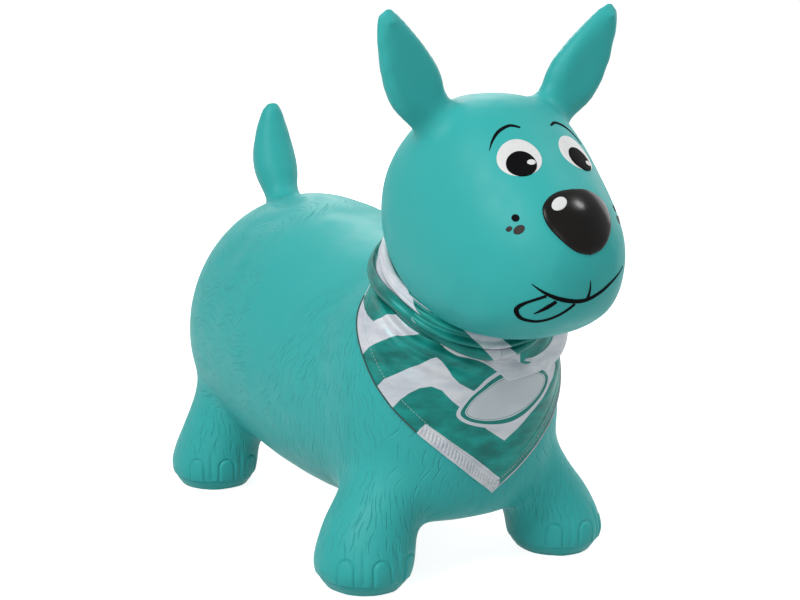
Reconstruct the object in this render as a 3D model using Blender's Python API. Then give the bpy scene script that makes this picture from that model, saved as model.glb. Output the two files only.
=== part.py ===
"""Inflatable bouncy ride-on dog with a bandana round its neck.

Metres, +Z up. The dog faces -Y and stands on Z = 0, with its left side at +X.
"""

import math

import bmesh
import bpy
from mathutils import Matrix, Vector
from mathutils.bvhtree import BVHTree

# The length that the outlines below are given in shares of, chosen by hand
MODULE_LENGTH = 0.100

# Space left between two pieces that touch
GAP = 0.0003

# Moulded skin
RING_POINTS = 40
SKIN_VOXEL = 0.0045
SKIN_TRIANGLES = 5600
FOLDED_DEGREES = 160
UNFOLD_PASSES = 12
JUNCTION_REACH = 0.030
JUNCTION_GAIN = 1.5
JUNCTION_PASSES = 30
BLUNT = 2.5
BELLY_BLUNT = 2.3
ROUND = 2.0
waist_share = 0.43


def remove_everything():
    for obj in list(bpy.data.objects):
        bpy.data.objects.remove(obj)


def smooth_rows(rows, steps):
    """Rows of numbers, with steps - 1 more between each two on a Catmull-Rom curve."""
    finer = []
    for i in range(len(rows) - 1):
        a, b, c, d = rows[max(i - 1, 0)], rows[i], rows[i + 1], rows[min(i + 2, len(rows) - 1)]
        for s in range(steps):
            t = s / steps
            row = []
            for p, q, r, u in zip(a, b, c, d):
                bend = 2 * p - 5 * q + 4 * r - u
                twist = 3 * q - p - 3 * r + u
                row.append((2 * q + (r - p) * t + bend * t**2 + twist * t**3) / 2)
            finer.append(row)
    finer.append(list(rows[-1]))
    return finer


def ring(centre, across, along, half_width, ahead, behind, blunt=ROUND):
    """An oval ring that reaches ahead and behind by unlike amounts, blunter ahead if asked."""
    points = []
    for i in range(RING_POINTS):
        turn = 2 * math.pi * (i + 0.5) / RING_POINTS
        sine, cosine = math.sin(turn), math.cos(turn)
        power = blunt if sine > 0 else ROUND
        size = (abs(sine) ** power + abs(cosine) ** power) ** (-1 / power)
        reach = ahead if sine > 0 else behind
        points.append(centre + across * (half_width * cosine * size) + along * (reach * sine * size))
    return points


def loft(name, rings):
    """A closed skin over rings of points, with its ends closed by fans."""
    mesh = bmesh.new()
    made = [[mesh.verts.new(point) for point in points] for points in rings]
    count = len(made[0])
    for low, high in zip(made, made[1:]):
        for i in range(count):
            j = (i + 1) % count
            mesh.faces.new((low[i], low[j], high[j], high[i]))
    for end in (made[0], made[-1]):
        middle = mesh.verts.new(sum((v.co for v in end), Vector()) / count)
        for i in range(count):
            mesh.faces.new((middle, end[i], end[(i + 1) % count]))
    bmesh.ops.recalc_face_normals(mesh, faces=mesh.faces)
    data = bpy.data.meshes.new(name)
    mesh.to_mesh(data)
    mesh.free()
    obj = bpy.data.objects.new(name, data)
    bpy.context.scene.collection.objects.link(obj)
    return obj


X, Y, Z = Vector((1, 0, 0)), Vector((0, 1, 0)), Vector((0, 0, 1))

# Torso, upright sections from the rump to the chest: Y, half width, top and bottom.
torso_shares = (
    (2.45, 0.28, 1.85, 1.40),
    (2.40, 0.55, 2.08, 1.14),
    (2.24, 0.84, 2.40, 0.82),
    (1.97, 1.05, 2.68, 0.60),
    (1.60, 1.17, 2.85, 0.47),
    (1.10, 1.20, 2.91, 0.40),
    (0.50, 1.19, 2.87, 0.34),
    (-0.10, 1.14, 2.76, 0.31),
    (-0.70, 1.08, 2.69, 0.33),
    (-1.30, 1.00, 2.55, 0.42),
    (-1.75, 0.85, 2.15, 0.60),
    (-2.00, 0.55, 1.70, 0.95),
)


def torso():
    rings = []
    for y, half, top, bottom in smooth_rows(torso_shares, 4):
        waist = bottom + (top - bottom) * waist_share
        centre = Vector((0, y, waist)) * MODULE_LENGTH
        below, above = (waist - bottom) * MODULE_LENGTH, (top - waist) * MODULE_LENGTH
        rings.append(ring(centre, X, -Z, half * MODULE_LENGTH, below, above, BELLY_BLUNT))
    return loft("torso", rings)


# Chest and neck, level sections from the chest up: height, front, widest place, back and half width.
chest_shares = (
    (0.42, 1.50, 1.10, 0.80, 0.35),
    (0.47, 1.78, 1.10, 0.60, 0.68),
    (0.60, 1.97, 1.10, 0.40, 0.86),
    (0.85, 2.09, 1.10, 0.30, 0.98),
    (1.20, 2.14, 1.10, 0.30, 1.03),
    (1.60, 2.14, 1.10, 0.30, 1.04),
    (1.95, 2.12, 1.12, 0.30, 1.00),
    (2.25, 2.10, 1.20, 0.52, 0.90),
    (2.50, 2.08, 1.35, 0.78, 0.68),
    (2.75, 2.05, 1.45, 0.95, 0.55),
    (3.00, 2.00, 1.55, 1.10, 0.50),
    (3.20, 1.90, 1.55, 1.20, 0.42),
)

# Head, the same from the chin up, and how blunt its front is.
head_shares = (
    (2.24, 2.62, 2.40, 2.22, 0.20, 2.3),
    (2.29, 2.84, 2.30, 2.05, 0.42, 2.4),
    (2.38, 3.05, 2.18, 1.82, 0.58, 2.5),
    (2.52, 3.26, 2.05, 1.55, 0.70, 2.5),
    (2.70, 3.38, 1.92, 1.30, 0.77, 2.5),
    (2.90, 3.43, 1.84, 1.12, 0.80, 2.5),
    (3.10, 3.42, 1.80, 1.05, 0.81, 2.4),
    (3.32, 3.33, 1.80, 1.06, 0.80, 2.2),
    (3.52, 3.16, 1.84, 1.12, 0.77, 2.1),
    (3.72, 2.93, 1.93, 1.24, 0.71, 2.1),
    (3.88, 2.76, 2.00, 1.38, 0.62, 2.1),
    (4.01, 2.60, 2.03, 1.53, 0.50, 2.1),
    (4.11, 2.43, 2.05, 1.70, 0.34, 2.0),
    (4.15, 2.24, 2.07, 1.90, 0.15, 2.0),
)


def level_loft(name, rows):
    rings = []
    for z, front, widest, back, half, blunt in smooth_rows(rows, 4):
        centre = Vector((0, -widest, z)) * MODULE_LENGTH
        ahead, behind = (front - widest) * MODULE_LENGTH, (widest - back) * MODULE_LENGTH
        rings.append(ring(centre, X, -Y, half * MODULE_LENGTH, ahead, behind, blunt))
    return loft(name, rings)


# Legs, level sections from below the sole up: height, place across and along, half width, toe, heel.
front_leg_shares = (
    (-0.10, 0.97, 1.59, 0.31, 0.34, 0.32),
    (0.00, 0.97, 1.59, 0.33, 0.36, 0.34),
    (0.06, 0.97, 1.59, 0.39, 0.42, 0.40),
    (0.20, 0.97, 1.59, 0.43, 0.47, 0.44),
    (0.38, 0.93, 1.58, 0.42, 0.45, 0.43),
    (0.58, 0.85, 1.56, 0.40, 0.41, 0.42),
    (0.82, 0.69, 1.53, 0.39, 0.41, 0.45),
    (1.12, 0.54, 1.50, 0.40, 0.43, 0.50),
    (1.45, 0.50, 1.47, 0.42, 0.44, 0.52),
    (1.80, 0.40, 1.44, 0.38, 0.40, 0.46),
)
hind_leg_shares = (
    (-0.10, 0.97, 1.59, 0.31, 0.34, 0.32),
    (0.00, 0.97, 1.59, 0.33, 0.36, 0.34),
    (0.06, 0.97, 1.59, 0.39, 0.42, 0.40),
    (0.20, 0.97, 1.59, 0.43, 0.46, 0.44),
    (0.38, 0.94, 1.58, 0.42, 0.44, 0.43),
    (0.58, 0.88, 1.56, 0.40, 0.41, 0.42),
    (0.82, 0.79, 1.53, 0.40, 0.41, 0.45),
    (1.12, 0.69, 1.50, 0.42, 0.43, 0.50),
    (1.45, 0.58, 1.47, 0.42, 0.44, 0.52),
    (1.80, 0.45, 1.44, 0.38, 0.40, 0.46),
)


def leg(name, side, end, rows):
    rings = []
    for z, across, along, half, toe, heel in smooth_rows(rows, 4):
        centre = Vector((side * across, end * along, z)) * MODULE_LENGTH
        reaches = [share * MODULE_LENGTH for share in (half, toe, heel)]
        rings.append(ring(centre, X, end * Y, *reaches))
    return loft(name, rings)


# Sections along a leaf-shaped ear or tail: place on its spine, half width and half thickness.
leaf_shares = (
    (-0.15, 0.60, 0.90),
    (0.00, 0.60, 0.86),
    (0.15, 0.79, 0.95),
    (0.38, 1.00, 1.00),
    (0.62, 0.84, 0.88),
    (0.82, 0.56, 0.64),
    (0.94, 0.34, 0.42),
    (1.00, 0.10, 0.12),
)
EAR_WIDTH = 0.051
EAR_THICKNESS = 0.034
EAR_HOLLOW = 0.0075
TAIL_WIDTH = 0.046
TAIL_THICKNESS = 0.042
TAIL_HOLLOW = 0

# Base, tip and sideways bow of the left ear's spine, and of the tail's.
ear_spine_shares = ((0.51, -2.02, 3.88), (1.09, -2.18, 4.87), (0.02, 0, -0.02))
tail_spine_shares = ((0, 1.90, 2.66), (0, 2.18, 3.76), (0, 0.12, 0))


def leaf(name, base, tip, bow, facing, width, thickness, hollow):
    """An ear or a tail, sunk along the middle of its front by the hollow's depth."""
    axis = tip - base
    across = axis.cross(facing).normalized()
    front = across.cross(axis).normalized()
    rings = []
    for place, half, deep in smooth_rows(leaf_shares, 4):
        centre = base + axis * place + bow * math.sin(math.pi * place)
        reach = deep * thickness / 2
        points = ring(centre, across, front, half * width / 2, reach, reach)
        for point in points:
            ahead = max(0, (point - centre).dot(front) / reach)
            swell = math.sin(math.pi * min(1, max(0, place)))
            point -= front * (hollow * ahead**3 * swell)
        rings.append(points)
    return loft(name, rings)


def skin_lofts():
    chest = [(*row, BLUNT) for row in chest_shares]
    made = [torso(), level_loft("chest", chest), level_loft("head", head_shares)]
    for side in (-1, 1):
        made.append(leg("front_leg", side, -1, front_leg_shares))
        made.append(leg("hind_leg", side, 1, hind_leg_shares))
        flip = Matrix.Diagonal((side, 1, 1))
        spine = [flip @ Vector(shares) * MODULE_LENGTH for shares in ear_spine_shares]
        made.append(leaf("ear", *spine, -Y, EAR_WIDTH, EAR_THICKNESS, EAR_HOLLOW))
    spine = [Vector(shares) * MODULE_LENGTH for shares in tail_spine_shares]
    made.append(leaf("tail", *spine, -Y, TAIL_WIDTH, TAIL_THICKNESS, TAIL_HOLLOW))
    return made


def joined(name, objects):
    """One object that holds the faces of all of these."""
    mesh = bmesh.new()
    for obj in objects:
        mesh.from_mesh(obj.data)
    data = bpy.data.meshes.new(name)
    mesh.to_mesh(data)
    mesh.free()
    obj = bpy.data.objects.new(name, data)
    bpy.context.scene.collection.objects.link(obj)
    return obj


def settle(obj):
    """Replaces the object's mesh by what its modifiers make of it."""
    graph = bpy.context.evaluated_depsgraph_get()
    graph.update()
    made = bpy.data.meshes.new_from_object(obj.evaluated_get(graph), depsgraph=graph)
    obj.modifiers.clear()
    obj.data = made


def blend_junctions(obj, lofts):
    """Smooths the skin where two lofts meet, and leaves it as it is elsewhere."""
    trees = [tree_of(loft) for loft in lofts]
    group = obj.vertex_groups.new(name="junctions")
    for vertex in obj.data.vertices:
        away = sorted(tree.find_nearest(vertex.co)[3] for tree in trees)
        weight = max(0, 1 - away[1] / JUNCTION_REACH)
        if weight > 0:
            group.add([vertex.index], min(1, weight * JUNCTION_GAIN), "REPLACE")
    smooth = obj.modifiers.new("smooth", "SMOOTH")
    smooth.factor = 0.5
    smooth.iterations = JUNCTION_PASSES
    smooth.vertex_group = group.name
    settle(obj)


def skin():
    lofts = skin_lofts()
    whole = joined("inflatable_skin", lofts)
    remesh = whole.modifiers.new("remesh", "REMESH")
    remesh.mode = "VOXEL"
    remesh.voxel_size = SKIN_VOXEL
    settle(whole)
    blend_junctions(whole, lofts)
    for obj in lofts:
        bpy.data.objects.remove(obj)
    return whole


def thin_out(obj, triangles):
    """Fewer triangles, the same on both sides of the middle plane."""
    faces = sum(len(face.vertices) - 2 for face in obj.data.polygons)
    decimate = obj.modifiers.new("decimate", "DECIMATE")
    decimate.ratio = triangles / faces
    decimate.use_symmetry = True
    decimate.symmetry_axis = "X"
    decimate.use_collapse_triangulate = True
    settle(obj)


def unfold(obj):
    """Relaxes the places where two neighbouring faces lie folded onto each other."""
    mesh = bmesh.new()
    mesh.from_mesh(obj.data)
    for _ in range(UNFOLD_PASSES):
        folded = {}
        for edge in mesh.edges:
            if edge.calc_face_angle(0) > math.radians(FOLDED_DEGREES):
                for face in edge.link_faces:
                    folded.update((vertex, None) for vertex in face.verts)
        for vertex in folded:
            near = [edge.other_vert(vertex).co for edge in vertex.link_edges]
            folded[vertex] = vertex.co.lerp(sum(near, Vector()) / len(near), 0.5)
        for vertex, place in folded.items():
            vertex.co = place
    mesh.to_mesh(obj.data)
    mesh.free()


def flatten_soles(obj):
    """Cuts the skin off level at the floor, which leaves a flat sole on each foot."""
    mesh = bmesh.new()
    mesh.from_mesh(obj.data)
    every = mesh.verts[:] + mesh.edges[:] + mesh.faces[:]
    cut = bmesh.ops.bisect_plane(mesh, geom=every, plane_co=(0, 0, 0), plane_no=Z, clear_inner=True)
    rims = [item for item in cut["geom_cut"] if isinstance(item, bmesh.types.BMEdge)]
    bmesh.ops.holes_fill(mesh, edges=rims)
    bmesh.ops.recalc_face_normals(mesh, faces=mesh.faces)
    mesh.to_mesh(obj.data)
    mesh.free()


def tree_of(obj):
    """A search tree of the object's faces in world space."""
    place = obj.matrix_world
    points = [place @ vertex.co for vertex in obj.data.vertices]
    return BVHTree.FromPolygons(points, [face.vertices[:] for face in obj.data.polygons])


def material(name, colour, roughness):
    made = bpy.data.materials.new(name)
    made.use_nodes = True
    shader = made.node_tree.nodes["Principled BSDF"]
    shader.inputs["Base Color"].default_value = (*colour, 1)
    shader.inputs["Roughness"].default_value = roughness
    made.diffuse_color = (*colour, 1)
    return made


def mesh_object(name, points, faces):
    """A closed object, its faces turned outwards."""
    mesh = bmesh.new()
    corners = [mesh.verts.new(point) for point in points]
    for face in faces:
        mesh.faces.new([corners[i] for i in face])
    bmesh.ops.recalc_face_normals(mesh, faces=mesh.faces)
    data = bpy.data.meshes.new(name)
    mesh.to_mesh(data)
    mesh.free()
    obj = bpy.data.objects.new(name, data)
    bpy.context.scene.collection.objects.link(obj)
    return obj


def slab(name, inner, outer, loop):
    """A closed sheet between two grids of points, whose rows are strips, or loops round a last point."""
    rows, count = len(inner), len(inner[0])
    points, faces = [], []
    spans = count if loop else count - 1
    for grid in (inner, outer):
        base = len(points)
        points += [point for row in grid for point in row]
        for i in range(rows - 1):
            for j in range(spans):
                a, b = base + i * count + j, base + i * count + (j + 1) % count
                faces.append((a, b, b + count, a + count))
        if loop:
            points.append(sum(grid[-1], Vector()) / count)
            ring_start = base + (rows - 1) * count
            for j in range(count):
                faces.append((ring_start + j, ring_start + (j + 1) % count, len(points) - 1))
    far = len(points) // 2
    border = [(j, (j + 1) % count) for j in range(spans)]
    if not loop:
        last = (rows - 1) * count
        border += [(last + j, last + j + 1) for j in range(count - 1)]
        for i in range(rows - 1):
            border.append((i * count, (i + 1) * count))
            border.append((i * count + count - 1, (i + 1) * count + count - 1))
    faces += [(a, b, far + b, far + a) for a, b in border]
    return mesh_object(name, points, faces)


# Face, in degrees round a point in the head: to the dog's left, and up.
face_centre_shares = (0, -2.00, 3.10)
FILM_LIFT = 0.00045
FILM_THICKNESS = 0.00045
FILM_POINTS = 24
EYE_PLACE = (17.6, 36.2)
EYE_DEGREES = 9.1
PUPIL_PLACE = (17.2, 33.0)
PUPIL_DEGREES = 6.1
GLINT_SHIFTS = {"right": (4.8, 0.0), "left": (4.2, -2.6)}
GLINT_DEGREES = 1.2
STROKE_DEGREES = 1.15
stroke_tip_share = 0.25
BROW_PLACES = ((32.2, 41.2), (30.6, 45.6), (26.4, 50.4), (18.4, 53.0), (12.4, 51.6))
MOUTH_PLACES = (
    (-18.2, -10.9),
    (-14.2, -13.3),
    (-9.2, -15.3),
    (-3.0, -16.5),
    (1.2, -16.1),
    (5.5, -14.2),
    (10.2, -11.4),
    (17.0, -8.2),
)
NOTCH_PLACES = ((0.5, -10.2), (0.9, -12.6), (0.8, -15.0))
TONGUE_PLACES = (
    (-14.4, -14.7),
    (-18.4, -16.8),
    (-21.4, -19.2),
    (-22.3, -21.6),
    (-20.2, -24.4),
    (-15.2, -25.0),
    (-10.6, -23.3),
    (-6.4, -20.3),
    (-3.7, -18.0),
)
TONGUE_LINE_PLACES = ((-15.9, -21.0), (-13.0, -18.7), (-10.6, -16.9))
CHEEK_DOTS = (((22.7, 10.7), 1.55), ((21.8, 6.5), 2.2), ((25.3, 6.8), 1.2))
NOSE_PLACES = (
    (0, 19.8),
    (6, 19.2),
    (10.6, 17.0),
    (13.4, 13.2),
    (12.8, 8.0),
    (9.4, 3.2),
    (4.8, -0.6),
    (0, -1.9),
)
NOSE_MIDDLE = (0, 10.5)
NOSE_HEIGHT = 0.0030


def toward(across, up):
    a, b = math.radians(across), math.radians(up)
    return Vector((math.sin(a) * math.cos(b), -math.cos(a) * math.cos(b), math.sin(b)))


def on_skin(tree, centre, direction, lift):
    """The point that lies above the skin by the lift, the way that the direction leaves the centre."""
    place, normal, _, _ = tree.ray_cast(centre, direction)
    if normal.dot(direction) < 0:
        normal = -normal
    return place + normal * lift


def film(name, tree, rows, loop, lift, rises):
    """A thin film on the face. Each row has its own height above the film's edge."""
    face_centre = Vector(face_centre_shares) * MODULE_LENGTH
    inner = [[on_skin(tree, face_centre, toward(*p), lift) for p in row] for row in rows]
    outer = []
    for row, rise in zip(rows, rises):
        top = lift + FILM_THICKNESS + rise
        outer.append([on_skin(tree, face_centre, toward(*p), top) for p in row])
    return slab(name, inner, outer, loop)


def disc(name, tree, centre, radius, lift):
    """A round film, its width in degrees across kept round at every height."""
    rows = []
    squeeze = math.cos(math.radians(centre[1]))
    for share in (1, 0.75, 0.5, 0.25):
        row = []
        for i in range(FILM_POINTS):
            turn = 2 * math.pi * i / FILM_POINTS
            reach = radius * share
            across = centre[0] + reach * math.cos(turn) / squeeze
            row.append((across, centre[1] + reach * math.sin(turn)))
        rows.append(row)
    return film(name, tree, rows, True, lift, [0] * len(rows))


def stroke(name, tree, places, lift):
    """A painted line that narrows to both ends."""
    fine = smooth_rows(places, 5)
    rows = []
    for i, (across, up) in enumerate(fine):
        before, after = fine[max(i - 1, 0)], fine[min(i + 1, len(fine) - 1)]
        squeeze = math.cos(math.radians(up))
        along = Vector(((after[0] - before[0]) * squeeze, after[1] - before[1])).normalized()
        swell = math.sin(math.pi * i / (len(fine) - 1))
        half = STROKE_DEGREES / 2 * (stroke_tip_share + (1 - stroke_tip_share) * swell)
        side = Vector((-along.y / squeeze, along.x)) * half
        rows.append([(across - side.x, up - side.y), (across, up), (across + side.x, up + side.y)])
    return film(name, tree, rows, False, lift, [0] * len(rows))


def nose(tree):
    half = smooth_rows(NOSE_PLACES, 3)
    outline = half + [(-across, up) for across, up in reversed(half[1:-1])]
    rows, rises = [], []
    for share in (1, 0.94, 0.8, 0.6, 0.4, 0.2):
        row = []
        for across, up in outline:
            row.append((across * share, NOSE_MIDDLE[1] + (up - NOSE_MIDDLE[1]) * share))
        rows.append(row)
        rises.append(NOSE_HEIGHT * math.sqrt(1 - share**2))
    return film("nose", tree, rows, True, FILM_LIFT, rises)


def face(tree):
    black = material("black_print", (0.012, 0.012, 0.013), 0.3)
    white = material("white_print", (0.86, 0.87, 0.88), 0.35)
    brown = material("brown_print", (0.10, 0.075, 0.065), 0.4)
    second = FILM_LIFT + FILM_THICKNESS + GAP
    third = second + FILM_THICKNESS + GAP
    for side, sign in (("right", -1), ("left", 1)):
        eye = (sign * EYE_PLACE[0], EYE_PLACE[1])
        pupil = (sign * PUPIL_PLACE[0], PUPIL_PLACE[1])
        shift = GLINT_SHIFTS[side]
        glint = (pupil[0] + shift[0], pupil[1] + shift[1])
        finish(disc(f"eye_white_{side}", tree, eye, EYE_DEGREES, FILM_LIFT), white)
        finish(disc(f"pupil_{side}", tree, pupil, PUPIL_DEGREES, second), black)
        finish(disc(f"glint_{side}", tree, glint, GLINT_DEGREES, third), white)
        brow = [(sign * across, up) for across, up in BROW_PLACES]
        finish(stroke(f"brow_{side}", tree, brow, FILM_LIFT), black)
        for i, ((across, up), radius) in enumerate(CHEEK_DOTS):
            dot = disc(f"cheek_dot_{side}_{i + 1}", tree, (sign * across, up), radius, FILM_LIFT)
            finish(dot, brown if i else black)
    finish(nose(tree), material("nose_gloss", (0.008, 0.008, 0.009), 0.12))
    for name, places in (
        ("mouth_line", MOUTH_PLACES),
        ("mouth_notch", NOTCH_PLACES),
        ("tongue_outline", TONGUE_PLACES),
        ("tongue_line", TONGUE_LINE_PLACES),
    ):
        finish(stroke(name, tree, places, FILM_LIFT), black)


# Bandana, in degrees round an upright line in the chest: to the dog's left.
CLOTH_LIFT = 0.0007
CLOTH_THICKNESS = 0.0010
HEM_RISE = 0.0006
ROLL_COLUMNS = 56
ROLL_POINTS = 12
ROLL_CLIMB = 0.4
UPPER_ROLL_RADIUS = 0.0056
LOWER_ROLL_RADIUS = 0.0064
ridge_share = 0.10
ROLL_RIDGES = 3
ROLL_TURNS = 4
ROLL_PASSES = 8
BIB_END_DEGREES = 80
BIB_FADE_DEGREES = 12
HEM_LEAST = 0.0040
BIB_COLUMNS = 41
BIB_ROWS = 15
FOLD_HEIGHT = 0.0034
FOLD_PITCH = 0.0190
FOLD_FADE = 0.045

# How far ahead the chest's line is, and the upper roll's heights on the chest and at the nape.
chest_line_share = 1.10
roll_front_share = 2.06
roll_nape_share = 3.05

# Lower edge of the bib: degrees to either side of its tip, and height.
hem_shares = (
    (0, 0.80),
    (12, 0.97),
    (22, 1.13),
    (37, 1.38),
    (48, 1.59),
    (56, 1.77),
    (64, 1.99),
    (72, 2.22),
    (80, 2.50),
)


def between(rows, at):
    """The second number of the table, read off at a value of the first one."""
    for (low, a), (high, b) in zip(rows, rows[1:]):
        if at <= high:
            return a + (b - a) * (at - low) / (high - low)
    return rows[-1][1]


def roll_height(degrees):
    rise = ((1 - math.cos(math.radians(degrees))) / 2) ** ROLL_CLIMB
    return (roll_front_share + (roll_nape_share - roll_front_share) * rise) * MODULE_LENGTH


def off_chest(tree, degrees, z, lift):
    turn = math.radians(degrees)
    centre = Vector((0, -chest_line_share * MODULE_LENGTH, z))
    return on_skin(tree, centre, Vector((math.sin(turn), -math.cos(turn), 0)), lift)


def clear_of(point, tree, gap):
    """The point, moved straight out from the skin as far as the gap needs."""
    for _ in range(3):
        place, normal, _, _ = tree.find_nearest(point)
        if (point - place).dot(normal) < gap:
            point = place + normal * gap
    return point


def evened(middles):
    """A closed run of points with its sharpest turns taken out, and equal steps between them."""
    neighbours = zip(middles[-1:] + middles[:-1], middles, middles[1:] + middles[:1])
    middles = [(before + middle * 2 + after) / 4 for before, middle, after in neighbours]
    spans = [(b - a).length for a, b in zip(middles, middles[1:] + middles[:1])]
    step = sum(spans) / len(middles)
    spaced, i, passed = [], 0, 0
    for k in range(len(middles)):
        while passed + spans[i] < k * step:
            passed += spans[i]
            i += 1
        share = (k * step - passed) / spans[i]
        spaced.append(middles[i].lerp(middles[(i + 1) % len(middles)], share))
    return spaced


def upper_route(tree):
    """Where the middle of the upper roll runs: in the crease below the head."""
    middles = []
    reach = CLOTH_LIFT + UPPER_ROLL_RADIUS
    for i in range(ROLL_COLUMNS):
        degrees = 360 * i / ROLL_COLUMNS
        middles.append(off_chest(tree, degrees, roll_height(degrees), reach))
    for _ in range(ROLL_PASSES):
        middles = [clear_of(point, tree, reach) for point in evened(middles)]
    return middles


def lower_route(tree, upper):
    """The same for the lower roll, which lies against the upper one and the skin."""
    middles = []
    drop = UPPER_ROLL_RADIUS + LOWER_ROLL_RADIUS + GAP * 2
    reach = CLOTH_LIFT + LOWER_ROLL_RADIUS
    for i, middle in enumerate(upper):
        along = (upper[(i + 1) % ROLL_COLUMNS] - upper[i - 1]).normalized()
        _, normal, _, _ = tree.find_nearest(middle)
        down = along.cross(normal).normalized()
        middles.append(middle + down * drop)
    for _ in range(ROLL_PASSES):
        middles = [clear_of(point, tree, reach) for point in evened(middles)]
        middles = [apart_from(point, upper, drop) for point in middles]
    return middles


def apart_from(point, route, gap):
    """The point, moved straight away from the closed route as far as the gap needs."""
    nearest = None
    for start, end in zip(route, route[1:] + route[:1]):
        span = end - start
        share = min(1, max(0, (point - start).dot(span) / span.length_squared))
        place = start + span * share
        if nearest is None or (point - place).length < (point - nearest).length:
            nearest = place
    away = point - nearest
    return point if away.length >= gap else nearest + away.normalized() * gap


def roll(name, middles, radius):
    """One turn of rolled cloth round the neck, with the ridges of its twist."""
    points, faces = [], []
    for i, middle in enumerate(middles):
        along = (middles[(i + 1) % ROLL_COLUMNS] - middles[i - 1]).normalized()
        side = along.cross(Z).normalized()
        up = side.cross(along)
        for j in range(ROLL_POINTS):
            turn = 2 * math.pi * j / ROLL_POINTS
            twist = ROLL_RIDGES * turn + 2 * math.pi * ROLL_TURNS * i / ROLL_COLUMNS
            reach = radius * (1 - ridge_share + ridge_share * math.cos(twist))
            points.append(middle + side * (reach * math.cos(turn)) + up * (reach * math.sin(turn)))
            a, b = i * ROLL_POINTS, ((i + 1) % ROLL_COLUMNS) * ROLL_POINTS
            k = (j + 1) % ROLL_POINTS
            faces.append((a + j, a + k, b + k, b + j))
    return mesh_object(name, points, faces)


def below_roll(lower, degrees):
    """The height just under the lower roll, the given way from the chest's middle."""
    near = []
    for before, middle, after in zip(lower[-1:] + lower[:-1], lower, lower[1:] + lower[:1]):
        ahead = -chest_line_share * MODULE_LENGTH - middle.y
        way = math.degrees(math.atan2(middle.x, ahead))
        slope = (after - before).normalized().z
        drop = (LOWER_ROLL_RADIUS + GAP * 3) / math.sqrt(1 - slope**2)
        near.append((way, middle.z - drop))
    return between(sorted(near), degrees)


def bib(tree, lower):
    """The triangle of cloth on the chest, with swags below the rolls and a hem along its edge."""
    inner, outer = [], []
    for i in range(BIB_ROWS):
        row, rise_row = [], []
        for j in range(BIB_COLUMNS):
            degrees = BIB_END_DEGREES * (2 * j / (BIB_COLUMNS - 1) - 1)
            top = below_roll(lower, degrees)
            bottom = min(between(hem_shares, abs(degrees)) * MODULE_LENGTH, top - HEM_LEAST)
            z = top + (bottom - top) * i / (BIB_ROWS - 1)
            below = top - z
            swag = math.sin(math.pi * below / FOLD_PITCH) ** 2 * math.exp(-below / FOLD_FADE)
            fade = min(1, (BIB_END_DEGREES - abs(degrees)) / BIB_FADE_DEGREES)
            lift = CLOTH_LIFT + FOLD_HEIGHT * swag * fade
            hem = HEM_RISE if i >= BIB_ROWS - 2 else 0
            row.append(off_chest(tree, degrees, z, lift))
            rise_row.append(off_chest(tree, degrees, z, lift + CLOTH_THICKNESS + hem))
        inner.append(row)
        outer.append(rise_row)
    return slab("bandana_bib", inner, outer, False)


def finish(obj, look):
    obj.data.materials.clear()
    obj.data.materials.append(look)
    for face in obj.data.polygons:
        face.use_smooth = True


# Knot at the nape, and the two ends that leave it
KNOT_WIDTH = 0.030
KNOT_DEPTH = 0.020
KNOT_HEIGHT = 0.024
KNOT_POINTS = 20
KNOT_CREASES = 3
KNOT_STEPS_LEFT = 1
knot_crease_share = 0.07
END_LENGTH = 0.024
END_WIDTH = 0.018
END_THICKNESS = 0.0016
END_DEGREES = 24
END_ROWS = 12
END_FOLD = 0.003
end_droop_share = 0.9
end_neck_share = 0.30

# Where the swell of an end's width starts, and how much of it there is.
end_swell_shares = (0.08, 0.82)


def knot(middle):
    """A lump of cloth with creases that run round it."""
    rows, points, faces = KNOT_POINTS // 2, [], []
    for i in range(rows):
        down = math.pi * (i + 0.5) / rows
        for j in range(KNOT_POINTS):
            turn = 2 * math.pi * j / KNOT_POINTS
            crease = 1 + knot_crease_share * math.cos(KNOT_CREASES * turn + KNOT_CREASES * down)
            flat = math.sin(down) * crease
            way = Vector((math.cos(down), flat * math.cos(turn), flat * math.sin(turn)))
            points.append(way * Vector((KNOT_WIDTH, KNOT_DEPTH, KNOT_HEIGHT)) / 2)
    for i in range(rows - 1):
        for j in range(KNOT_POINTS):
            k = (j + 1) % KNOT_POINTS
            a, b = i * KNOT_POINTS, (i + 1) * KNOT_POINTS
            faces.append((a + j, a + k, b + k, b + j))
    faces.append(tuple(range(KNOT_POINTS)))
    faces.append(tuple(range((rows - 1) * KNOT_POINTS, rows * KNOT_POINTS)))
    return mesh_object("bandana_knot", [middle + point for point in points], faces)


def loose_end(name, tree, middle, sign):
    """A short end of cloth that leaves the knot and comes to lie on the back."""
    turn = math.radians(END_DEGREES)
    away = Vector((sign * math.sin(turn), math.cos(turn), 0))
    across = Vector((away.y, -away.x, 0))
    edge = (1 + knot_crease_share) / math.hypot(away.x * 2 / KNOT_WIDTH, away.y * 2 / KNOT_DEPTH)
    inner, outer = [], []
    for i in range(END_ROWS):
        share = i / (END_ROWS - 1)
        swell = math.sin(math.pi * (end_swell_shares[0] + end_swell_shares[1] * share))
        half = END_WIDTH / 2 * (end_neck_share + (1 - end_neck_share) * swell)
        start = middle + away * (edge + GAP + END_LENGTH * share)
        row = []
        for column in (-1, -0.5, 0, 0.5, 1):
            point = start + across * (half * column)
            place, _, _, _ = tree.ray_cast(point + Z * MODULE_LENGTH, -Z)
            rest = place.z + CLOTH_LIFT * 2
            fold = END_FOLD * math.sin(2 * math.pi * share) * (1 - abs(column))
            point.z = max(rest, middle.z - END_LENGTH * share * end_droop_share) + abs(fold)
            row.append(point)
        inner.append(row)
        outer.append([point + Z * END_THICKNESS for point in row])
    return slab(name, inner, outer, False)


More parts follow.
